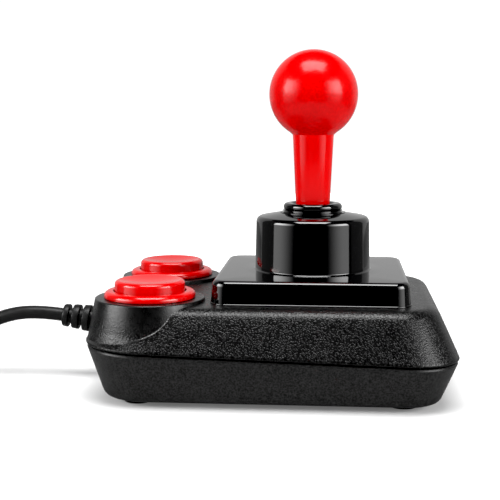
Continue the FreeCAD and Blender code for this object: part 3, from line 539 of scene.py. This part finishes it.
def steel():
    """Bright steel, drawn along X."""
    material, tree, surface, place = shader("steel", (0.55, 0.55, 0.56), roughness=0.3)
    surface.inputs["Metallic"].default_value = 1.0
    stretch = tree.nodes.new("ShaderNodeMapping")
    stretch.inputs["Scale"].default_value = (1.0, 14.0, 14.0)
    tree.links.new(place, stretch.inputs["Vector"])
    drawn = noise(tree, stretch.outputs["Vector"], scale=220.0, detail=4.0)
    bump(tree, surface, drawn, strength=0.15, depth=0.05)
    roughen(tree, surface, drawn, low=0.22, high=0.38)
    colour_by(tree, surface, drawn, dark=(0.48, 0.48, 0.49), light=(0.62, 0.62, 0.63))
    return material


GRAIN, SATIN, LOBE = grain_black(), satin_black(), lobe_black()
GLOSS, RUBBER, STEEL = gloss_black(), black_rubber(), steel()
RED = red_plastic("red_gloss", red=0.395, roughness=0.15, sheen=0.33, texture=0.04, scale=2400.0)
RED_STEM = red_plastic("red_stem", red=0.48, roughness=0.13, sheen=0.24, texture=0.04, scale=2400.0)
RED_SATIN = red_plastic("red_satin", red=0.405, roughness=0.17, sheen=0.14, texture=1.0, scale=950.0)
CAD_LOOKS = {
    "grain_black": GRAIN,
    "satin_black": SATIN,
    "gloss_black": GLOSS,
    "red": RED,
    "steel": STEEL,
    "black_rubber": RUBBER,
    "white_plastic": moulded("white_plastic", (0.62, 0.61, 0.58), (0.72, 0.71, 0.68)),
    "black_plastic": moulded("black_plastic", (0.006, 0.006, 0.006), (0.011, 0.011, 0.011)),
    "green_board": moulded("green_board", (0.008, 0.1, 0.04), (0.014, 0.15, 0.06)),
}


def dress(piece, body, slot, looks, *replaced):
    """Puts a piece on its body, with its materials, in place of the CAD nodes that it stands for."""
    piece.data.materials.clear()
    for look in looks:
        piece.data.materials.append(look)
    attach(piece, body)
    if replaced:
        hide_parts(*replaced)


# Camera, light and floor

def aim(thing, direction):
    thing.rotation_euler = direction.to_track_quat("-Z", "Y").to_euler()


def make_camera():
    camera = bpy.data.objects.new("camera", bpy.data.cameras.new("camera"))
    camera.data.sensor_width = CAMERA_SENSOR
    camera.data.lens = CAMERA_LENS
    camera.data.clip_start = CAMERA_NEAREST
    camera.location = CAMERA_PLACE
    flat = math.cos(CAMERA_DOWN)
    aim(camera, Vector((-math.sin(CAMERA_TURN) * flat, math.cos(CAMERA_TURN) * flat, -math.sin(CAMERA_DOWN))))
    bpy.context.scene.collection.objects.link(camera)
    bpy.context.scene.camera = camera


def softbox(name, place, target, size, radiance):
    """A rectangular light that the camera doesn't see."""
    light = bpy.data.lights.new(name, "AREA")
    light.shape = "RECTANGLE"
    light.size, light.size_y = size
    light.energy = radiance * math.pi * light.size * light.size_y
    box = bpy.data.objects.new(name, light)
    box.location = place
    box.visible_camera = False
    aim(box, Vector(target) - Vector(place))
    bpy.context.scene.collection.objects.link(box)
    return light


def fade_box(light, side, start, end):
    """Fades a light from start to end along its side direction, and dims its lowest part to a skirt."""
    light.use_nodes = True
    tree = light.node_tree
    where = tree.nodes.new("ShaderNodeNewGeometry").outputs["Position"]
    along = vector_step(tree, "DOT_PRODUCT", where, side).outputs["Value"]
    across = faded(tree, along, start, end)
    upright = faded(tree, height_of(tree, where), SKIRT_LOW, SKIRT_HIGH, SKIRT_SHARE, 1.0)
    tree.links.new(arithmetic(tree, "MULTIPLY", across, upright), tree.nodes["Emission"].inputs["Strength"])


def round_about(turn, away, height):
    """A place in metres: so far away from the stick, at a turn and a height."""
    angle = math.radians(turn)
    return Vector((STICK_X * MM + away * math.sin(angle), -away * math.cos(angle), height))


def make_lights():
    """Two boxes beside the camera, sharp at their outer edge and soft at the inner one, and one overhead."""
    stick, middle = STICK_X * MM, (BOX_LOW + BOX_HIGH) / 2
    for name, turn in (("left_box", LEFT_BOX), ("right_box", RIGHT_BOX)):
        place = round_about(turn, BOX_AWAY, middle)
        light = softbox(name, place, (stick, 0.0, middle), (BOX_WIDTH, BOX_HIGH - BOX_LOW), BOX_LIGHT)
        sideways = turn + math.copysign(QUARTER_TURN, turn)
        outward = round_about(sideways, 1.0, 0.0) - round_about(turn, 0.0, 0.0)
        inner = place.dot(outward) - BOX_WIDTH / 2
        fade_box(light, outward, inner, inner + BOX_WIDTH * BOX_FADE)
    overhead, target = (stick, OVERHEAD_Y, OVERHEAD_HEIGHT), (stick, 0.0, OVERHEAD_AIM)
    softbox("top_box", overhead, target, OVERHEAD_SIZE, OVERHEAD_LIGHT)


def make_world():
    """White where the camera looks past the floor, and a dim room for everything else."""
    world = bpy.data.worlds.new("studio")
    world.use_nodes = True
    tree = world.node_tree
    room, white = tree.nodes["Background"], tree.nodes.new("ShaderNodeBackground")
    for background, strength in ((room, ROOM_LIGHT), (white, BACKDROP_LIGHT)):
        background.inputs["Color"].default_value = (1.0, 1.0, 1.0, 1.0)
        background.inputs["Strength"].default_value = strength
    choice = tree.nodes.new("ShaderNodeMixShader")
    tree.links.new(tree.nodes.new("ShaderNodeLightPath").outputs["Is Camera Ray"], choice.inputs["Fac"])
    tree.links.new(room.outputs["Background"], choice.inputs[1])
    tree.links.new(white.outputs["Background"], choice.inputs[2])
    tree.links.new(choice.outputs["Shader"], tree.nodes["World Output"].inputs["Surface"])
    bpy.context.scene.world = world
    view = bpy.context.scene.view_settings
    view.view_transform = "Standard"
    view.look = "None"
    view.use_curve_mapping = True
    view.curve_mapping.black_level = (BLACK_LEVEL, BLACK_LEVEL, BLACK_LEVEL)


def paper():
    """The floor's white: it glows where it is seen, is dimmer in the gloss, and bounces light evenly."""
    material, tree, surface, place = shader("paper", (1.0, 1.0, 1.0), PAPER_ROUGHNESS)
    mottle = noise(tree, place, FLOOR_SPOTS)

    def matt(shade_of_grey):
        node = tree.nodes.new("ShaderNodeBsdfDiffuse")
        colour = tint(tree, mottle, (shade_of_grey * FLOOR_MOTTLE,) * 3, (shade_of_grey,) * 3)
        tree.links.new(colour.outputs["Result"], node.inputs["Color"])
        return node.outputs["BSDF"]

    glow = tree.nodes.new("ShaderNodeEmission")
    distance = vector_step(tree, "LENGTH", place).outputs["Value"]
    tree.links.new(faded(tree, distance, GLOW_START, GLOW_END, FLOOR_GLOW, 1.0), glow.inputs["Strength"])
    lit = tree.nodes.new("ShaderNodeAddShader")
    tree.links.new(matt(FLOOR_SEEN), lit.inputs[0])
    tree.links.new(glow.outputs["Emission"], lit.inputs[1])
    even = tree.nodes.new("ShaderNodeBsdfDiffuse")
    even.inputs["Color"].default_value = (FLOOR_BOUNCE, FLOOR_BOUNCE, FLOOR_BOUNCE, 1.0)
    path = tree.nodes.new("ShaderNodeLightPath")
    unseen, choice = tree.nodes.new("ShaderNodeMixShader"), tree.nodes.new("ShaderNodeMixShader")
    tree.links.new(path.outputs["Is Diffuse Ray"], unseen.inputs["Fac"])
    tree.links.new(matt(FLOOR_MIRRORED), unseen.inputs[1])
    tree.links.new(even.outputs["BSDF"], unseen.inputs[2])
    tree.links.new(path.outputs["Is Camera Ray"], choice.inputs["Fac"])
    tree.links.new(unseen.outputs["Shader"], choice.inputs[1])
    tree.links.new(lit.outputs["Shader"], choice.inputs[2])
    tree.links.new(choice.outputs["Shader"], tree.nodes["Material Output"].inputs["Surface"])
    tree.nodes.remove(surface)
    return material


def make_floor():
    """A pale table top, burnt out as in a studio shot, and cards round it for the gloss to mirror."""
    edge = []
    for turn in range(0, FULL_TURN, FLOOR_STEP):
        reach = FLOOR_FAR if BACK_CARD <= turn <= FULL_TURN - BACK_CARD else FLOOR_NEAR
        edge.append(round_about(turn, reach, 0.0) / MM)
    table = add_mesh("floor", edge, [tuple(range(len(edge)))])
    table.data.materials.append(paper())
    make_card("back_card", BACK_CARD, FULL_TURN - BACK_CARD, BACK_GLOW)
    make_card("right_card", SIDE_CARD, BACK_CARD, SIDE_GLOW)
    make_card("left_card", FULL_TURN - BACK_CARD, FULL_TURN - SIDE_CARD, SIDE_GLOW)


def make_card(name, start, end, strength):
    """A curved card round the stick, from one turn to another, that shines evenly and stays out of sight."""
    points = []
    for step in range(CARD_STEPS + 1):
        turn = start + (end - start) * step / CARD_STEPS
        points += [round_about(turn, FLOOR_FAR, height) / MM for height in (CARD_LOW, CARD_HIGH)]
    card = add_mesh(name, points, [(2 * i, 2 * i + 2, 2 * i + 3, 2 * i + 1) for i in range(CARD_STEPS)])
    material, _, surface, _ = shader(name, (0.0, 0.0, 0.0), PAPER_ROUGHNESS)
    surface.inputs["Specular IOR Level"].default_value = 0.0
    surface.inputs["Emission Color"].default_value = (1.0, 1.0, 1.0, 1.0)
    surface.inputs["Emission Strength"].default_value = strength
    card.data.materials.append(material)
    card.visible_camera = False


# Cord: free lead, coil and tail on one line

def coil_points():
    """Nine turns in layers, one cord diameter apart, and the start of a tenth on top of them."""
    columns = [COIL_RADIUS - CORD_DIAMETER * column for column in range(COIL_COLUMNS)]
    rows = []
    for layer in range(COIL_LAYERS):
        inwards = layer % 2 == 0
        rows += [(radius, layer) for radius in (columns if inwards else columns[::-1])]
    rows.append((columns[1], COIL_LAYERS))
    points = []
    for step in range(1, round(COIL_POINTS * COIL_TURNS) + 1):
        turn = step / COIL_POINTS
        row = min(int(turn), len(rows) - 1)
        ahead = min(row + 1, len(rows) - 1)
        share = smooth((turn - row - COIL_CHANGE) / (1 - COIL_CHANGE))
        radius = rows[row][0] + (rows[ahead][0] - rows[row][0]) * share
        layer = rows[row][1] + (rows[ahead][1] - rows[row][1]) * share
        angle = -math.pi / 2 - math.tau * turn
        x = COIL_X + radius * math.cos(angle)
        y = COIL_Y + radius * math.sin(angle)
        points.append((x, y, COIL_LOW + CORD_DIAMETER * (layer + 0.5)))
    return points


def make_cord():
    exit_x = RELIEF_X - RELIEF_LENGTH * math.cos(RELIEF_LEAN)
    exit_z = RELIEF_Z + RELIEF_LENGTH * math.sin(RELIEF_LEAN)
    lead = [
        (exit_x, 0.0, exit_z),
        (-99.5, 0.0, 27.3),
        (-113.5, -0.5, 24.9),
        (-127.5, -1.5, 17.6),
        (-141.0, -2.0, 9.2),
        (-154.0, -1.0, 4.4),
        (-166.0, 0.0, 3.55),
    ]
    tail = [(-197.2, 21.0, 20.6), (-201.0, 30.4, 21.3)]
    route = lead + coil_points() + tail
    curve = bpy.data.curves.new("cord", "CURVE")
    curve.dimensions = "3D"
    curve.bevel_depth = CORD_DIAMETER / 2 * MM
    curve.bevel_resolution = 6
    curve.use_fill_caps = True
    line = curve.splines.new("NURBS")
    line.points.add(len(route) - 1)
    for point, where in zip(line.points, route):
        point.co = (*(Vector(where) * MM), 1.0)
    line.order_u = 3
    line.use_endpoint_u = True
    line.resolution_u = 6
    cord = bpy.data.objects.new("cord", curve)
    bpy.context.scene.collection.objects.link(cord)
    dress(cord, "case", "black_rubber", [RUBBER], "cord_lead", "cord_coil", "cord_tail")


# Case

def make_lobe(y):
    """The solid of one lobe: a slightly conical wall that flares at its foot."""
    line = [
        (AXIS, LOBE_BOTTOM),
        (LOBE_FOOT, LOBE_BOTTOM),
        (LOBE_WAIST, LOBE_FLARE, FLARE_ROUND),
        (LOBE_RADIUS, LOBE_TOP, LOBE_ROUND),
        (AXIS, LOBE_TOP),
    ]
    return turned("tool", rounded(line, steps=6), BUTTON_X, y, count=160)


def roof(inset):
    """The outline of the case's top, with rounder corners than the rim's."""
    return outline(inset, right=TOP_CORNER, left=TOP_BUTTON_CORNER)


def at_button_end(x):
    """How much of the hollow a point of the wall gets: none by the stick, all of it by the lobes."""
    return smooth((HOLLOW_START - x) / HOLLOW_LENGTH)


def upper_rings():
    """The upper half's section: inside, rim, a wall that is hollow by the lobes, and the rounded top."""
    wall_foot = tilted(outline(RIM_STEP), PARTING + RIM_BAND)
    edge, flat = level(roof(TOP_INSET), CASE_TOP), level(roof(TOP_INSET + TOP_ROUND), CASE_TOP)
    rounding = eased(wall_foot, edge, flat, TOP_ROUND)
    rings = [level(roof(TOP_INSET + WALL), CASE_TOP - WALL), tilted(outline(WALL), PARTING)]
    rings += [tilted(outline(inset), PARTING + rise) for inset, rise in UPPER_EDGE]
    rings += [tilted(outline(0.0), PARTING + RIM_BAND - RIM_SHOULDER), wall_foot]
    for share, hollow in WALL_HOLLOW:
        straight = between(wall_foot, rounding[0], share)
        foot = tilted(outline(RIM_STEP + hollow), PARTING + RIM_BAND)
        curved = between(foot, rounding[0], share)
        rings.append([a.lerp(b, at_button_end(a.x)) for a, b in zip(straight, curved)])
    return rings + rounding + [flat]


def make_upper_shell():
    """The grained upper half, with its two smooth lobes and their mouths, and the stick's mouth."""
    shell = loft("upper_shell_skin", upper_rings())
    looks = [GRAIN, LOBE]
    for look in looks:
        shell.data.materials.append(look)
    for y in (-BUTTON_Y, BUTTON_Y):
        lobe = make_lobe(y)
        for look in looks:
            lobe.data.materials.append(look)
        for face in lobe.data.polygons:
            face.material_index = 1
        combine(shell, lobe, "UNION")
        room = [(LOBE_FOOT - WALL, LOBE_BOTTOM - ROOM_OVER), (LOBE_RADIUS - WALL, LOBE_TOP - WALL)]
        combine(shell, turned("tool", room, BUTTON_X, y), "DIFFERENCE")
        mouth = cylinder(NECK_RADIUS + NECK_CLEARANCE, BUTTON_X, y, LOBE_TOP - CUT_DEPTH, LOBE_TOP + CUT_OVER)
        combine(shell, mouth, "DIFFERENCE")
    stick_mouth = cylinder(STICK_MOUTH, STICK_X, 0.0, CASE_TOP - CUT_DEPTH, CASE_TOP + CUT_OVER)
    combine(shell, stick_mouth, "DIFFERENCE")
    marks = [face.material_index for face in shell.data.polygons]
    dress(shell, "case", "grain_black", looks, "upper_shell")
    for face, mark in zip(shell.data.polygons, marks):
        face.material_index = min(mark, 1)
    shade(shell, UPPER_SHARP)


def lower_rings():
    """The lower half's section: bottom, rounded edge, wall, rim, the tongue on it, and the inside."""
    rim = PARTING - GAP
    tongue_top = rim + GAP + TONGUE_RISE
    bottom = level(outline(BOTTOM_INSET), CASE_BOTTOM)
    flat = level(outline(BOTTOM_INSET + BOTTOM_RUN), CASE_BOTTOM)
    edge = [tilted(outline(LOWER_STEP + inset), rim - drop) for inset, drop in LOWER_EDGE]
    rounding = eased(edge[0], bottom, flat, BOTTOM_ROUND)
    rings = [flat] + rounding[::-1]
    rings += [between(rounding[0], edge[0], share) for share in LOWER_SHARES]
    rings += edge
    return rings + [
        tilted(outline(TONGUE_INSET), rim),
        tilted(outline(TONGUE_INSET), tongue_top),
        tilted(outline(TONGUE_INSET + TONGUE_WALL), tongue_top),
        tilted(outline(TONGUE_INSET + TONGUE_WALL), rim - TONGUE_DEPTH),
        level(outline(BOTTOM_INSET + WALL), CASE_BOTTOM + WALL),
    ]


def make_lower_shell():
    shell = loft("lower_shell_skin", lower_rings())
    for x in (STICK_X - SCREW_LEFT, STICK_X + SCREW_RIGHT):
        for y in (-SCREW_Y, SCREW_Y):
            recess = cylinder(SCREW_RADIUS, x, y, 0.0, CASE_BOTTOM + WALL + SCREW_OVER)
            combine(shell, recess, "DIFFERENCE")
    dress(shell, "case", "satin_black", [SATIN], "lower_shell")
    shade(shell, LOWER_SHARP)


def make_feet():
    """Four tapered feet with a shallow dish. The first stands for the CAD node that holds all four."""
    line = [
        (AXIS, CASE_BOTTOM),
        (FOOT_TOP_RADIUS, CASE_BOTTOM),
        (FOOT_RADIUS, 0.0, FOOT_ROUND),
        (FOOT_RIM, 0.0),
        (FOOT_DISH_RADIUS, FOOT_DISH),
        (AXIS, FOOT_DISH),
    ]
    places = [(x, y) for x in (FOOT_X, -FOOT_X) for y in (FOOT_Y, -FOOT_Y)]
    for i, (x, y) in enumerate(places):
        foot = turned(f"foot_{i}", rounded(line, steps=4), x, y, count=64)
        dress(foot, "case", "black_rubber", [RUBBER], *(["feet"] if i == 0 else []))


# Stick

def make_turret():
    """The square plate and the turret on it, one moulding, hollow underneath."""
    plate = (PLATE_SIDE, PLATE_SIDE, PLATE_CORNER, PLATE_CORNER)

    def square(inset, z):
        return [p + Vector((STICK_X, 0, 0)) for p in level(outline(inset, *plate), z)]

    angles = [math.atan2(p.y, p.x) for p in outline(0, *plate)]

    def circle(radius, z):
        return [Vector((STICK_X + radius * math.cos(a), radius * math.sin(a), z)) for a in angles]

    lip = [square(inset, CASE_TOP + rise) for inset, rise in PLATE_LIP]
    foot = lip[-1]
    lip_inset, lip_height = PLATE_LIP[-1]
    inset = lip_inset + (PLATE_TOP - CASE_TOP - lip_height) * math.tan(PLATE_DRAFT)
    rounding = eased(foot, square(inset, PLATE_TOP), square(inset + PLATE_RUN, PLATE_TOP), PLATE_ROUND)
    wall = [between(foot, rounding[0], share) for share in PLATE_SHARES]
    column = rounded(
        [
            (TURRET_RADIUS + TURRET_RUN, PLATE_TOP),
            (TURRET_RADIUS, PLATE_TOP, TURRET_FOOT_ROUND),
            (TURRET_RADIUS - TURRET_DRAFT, TURRET_TOP - TURRET_RISE, TURRET_EDGE),
            (RING_RADIUS, TURRET_TOP, TURRET_SEAT_ROUND),
            (TURRET_MOUTH, TURRET_TOP, TURRET_SEAT_ROUND),
            (TURRET_MOUTH, TURRET_TOP - MOUTH_DEPTH),
            (TURRET_BORE, TURRET_TOP - BORE_DEPTH),
        ],
        steps=8,
    )
    rings = [circle(TURRET_BORE, CASE_TOP)] + lip + wall + rounding
    rings += [circle(radius, z) for radius, z in column]
    turret = loft("turret_skin", rings, loop=True)
    dress(turret, "case", "gloss_black", [GLOSS], "stick_turret")


def make_ring():
    """A thin flange, a low bead, a groove and a high bead on the turret, with a mouth for the handle."""
    low, groove, high = TURRET_TOP, TURRET_TOP + BEAD_TOP, TURRET_TOP + RING_HEIGHT
    flange, sink = RING_RADIUS + RING_FLANGE, low - RING_SINK
    profile = rounded(
        [
            (RING_HOLE + RING_FOOT_HOLE, sink),
            (flange, sink),
            (flange, low),
            (RING_RADIUS - BEAD_FOOT_INSET, low + BEAD_FOOT, BEAD_ROUND),
            (RING_RADIUS - BEAD_TOP_INSET, groove, BEAD_ROUND),
            (RING_RADIUS - RING_GROOVE_INSET, groove + RING_GROOVE_HALF, RING_GROOVE_ROUND),
            (RING_RADIUS, groove + 2 * RING_GROOVE_HALF, RING_LOW_ROUND),
            (RING_RADIUS, high, RING_HIGH_ROUND),
            (RING_HOLE + RING_MOUTH, high, RING_MOUTH_ROUND),
            (RING_HOLE + RING_DISH, low + RING_DISH_HEIGHT, RING_DISH_ROUND),
        ],
        steps=8,
    )
    ring = turned("ring_skin", profile, STICK_X, 0.0, loop=True)
    dress(ring, "case", "gloss_black", [GLOSS], "dust_ring")


def make_ball_handle():
    """The tapered handle and its ball, one moulding, with a satin ball and a glossier stem."""
    neck, ease = BALL_NECK_ANGLE, BALL_NECK_EASE
    neck_radius = BALL_RADIUS * math.sin(neck)
    neck_height = BALL_HEIGHT - BALL_RADIUS * math.cos(neck)
    stem = [
        (AXIS, HANDLE_FOOT),
        (HANDLE_RADIUS, HANDLE_FOOT, HANDLE_ROUND),
        (neck_radius - BALL_NECK_INSET, neck_height - BALL_NECK_DROP),
        (neck_radius, neck_height - BALL_NECK_TURN),
    ]
    profile = rounded(stem, steps=4)
    for step in range(1, BALL_STEPS + 1):
        angle = neck + ease + (math.pi - neck - ease) * step / BALL_STEPS
        radius = max(BALL_RADIUS * math.sin(angle), AXIS)
        profile.append(Vector((radius, BALL_HEIGHT - BALL_RADIUS * math.cos(angle))))
    handle = turned("ball_handle_skin", profile, STICK_X, 0.0, count=144)
    dress(handle, "stick", "red", [RED_STEM, RED_SATIN], "ball_handle")
    for face in handle.data.polygons:
        face.material_index = 1 if face.center.z / MM > neck_height else 0


# Fire buttons

def make_collar(side, y):
    """The fixed ring of a button, with the neck that goes down through the lobe."""
    bore, neck_bore = CAP_RADIUS + CAP_CLEARANCE, NECK_RADIUS - NECK_WALL
    guide, seat = LOBE_TOP - COLLAR_GUIDE, LOBE_TOP + COLLAR_SEAT
    line = [
        (bore, COLLAR_TOP, COLLAR_EDGE),
        (bore, guide),
        (neck_bore, guide),
        (neck_bore, NECK_BOTTOM),
        (NECK_RADIUS, NECK_BOTTOM),
        (NECK_RADIUS, seat),
        (COLLAR_RADIUS, seat, COLLAR_EDGE),
        (COLLAR_RADIUS, COLLAR_TOP - COLLAR_FALL, COLLAR_ROUND),
    ]
    collar = turned(f"collar_{side}", rounded(line, steps=8), BUTTON_X, y, loop=True)
    dress(collar, "case", "red", [RED], f"button_collar_{side}")


def make_cap(side, y):
    """The push cap of a button, with a rounded rim round a shallow dish."""
    rim, rim_top, dish_steps = CAP_RADIUS - CAP_RIM, CAP_TOP - CAP_CROWN, 12
    line = [
        (AXIS, LOBE_TOP - CAP_POINT),
        (CAP_RADIUS, LOBE_TOP - CAP_SKIRT),
        (CAP_RADIUS - CAP_DRAFT, CAP_TOP + CAP_CROWN, CAP_ROUND),
        (rim, rim_top),
    ]
    profile = rounded(line, steps=8)
    for step in range(1, dish_steps + 1):
        radius = rim * (1 - step / dish_steps)
        profile.append((max(radius, AXIS), rim_top - CAP_DISH * (1 - (radius / rim) ** 2)))
    cap = turned(f"cap_{side}", profile, BUTTON_X, y)
    dress(cap, f"button_{side}", "red", [RED], f"button_cap_{side}")


# Strain relief

def make_relief():
    """The ribbed cord guard, turned about a leaning axis, with its flange inside the case."""
    line = [
        (RELIEF_FLANGE_FAR, AXIS),
        (RELIEF_FLANGE_FAR, RELIEF_RADIUS),
        (RELIEF_FLANGE_NEAR, RELIEF_RADIUS),
        (RELIEF_FLANGE_NEAR, RELIEF_NECK),
        (0.0, RELIEF_NECK),
        (0.0, RELIEF_RADIUS, RIB_ROUND),
    ]
    taper = (RELIEF_RADIUS - RELIEF_TIP) / RELIEF_LENGTH
    for groove in range(GROOVES):
        near = GROOVE_START + GROOVE_PITCH * groove
        far = near + GROOVE_WIDTH
        high, low = RELIEF_RADIUS - taper * near, RELIEF_RADIUS - taper * far
        line += [
            (-near, high, RIB_ROUND),
            (-near, high - GROOVE_DEPTH, GROOVE_ROUND),
            (-far, low - GROOVE_DEPTH, GROOVE_ROUND),
            (-far, low, RIB_ROUND),
        ]
    line += [(-RELIEF_LENGTH, RELIEF_TIP, RELIEF_TIP_ROUND), (-RELIEF_LENGTH, AXIS)]
    count = 72
    cos, sin = math.cos(RELIEF_LEAN), math.sin(RELIEF_LEAN)
    rings = []
    for along, radius in rounded(line, steps=4):
        ring = []
        for j in range(count):
            angle = math.tau * j / count
            side, up = radius * math.cos(angle), radius * math.sin(angle)
            ring.append((RELIEF_X + along * cos + up * sin, side, RELIEF_Z - along * sin + up * cos))
        rings.append(ring)
    relief = loft("strain_relief_skin", rings)
    dress(relief, "case", "black_rubber", [RUBBER], "strain_relief")


make_camera()
make_cord()
make_lights()
make_world()
make_floor()
make_upper_shell()
make_lower_shell()
make_feet()
make_turret()
make_ring()
make_ball_handle()
for side, y in (("near", -BUTTON_Y), ("far", BUTTON_Y)):
    make_collar(side, y)
    make_cap(side, y)
make_relief()
for subpart in frame["record"]["subparts"]:
    mesh = nodes[subpart["node"]].data
    mesh.materials.clear()
    mesh.materials.append(CAD_LOOKS[subpart["material_slot"]])
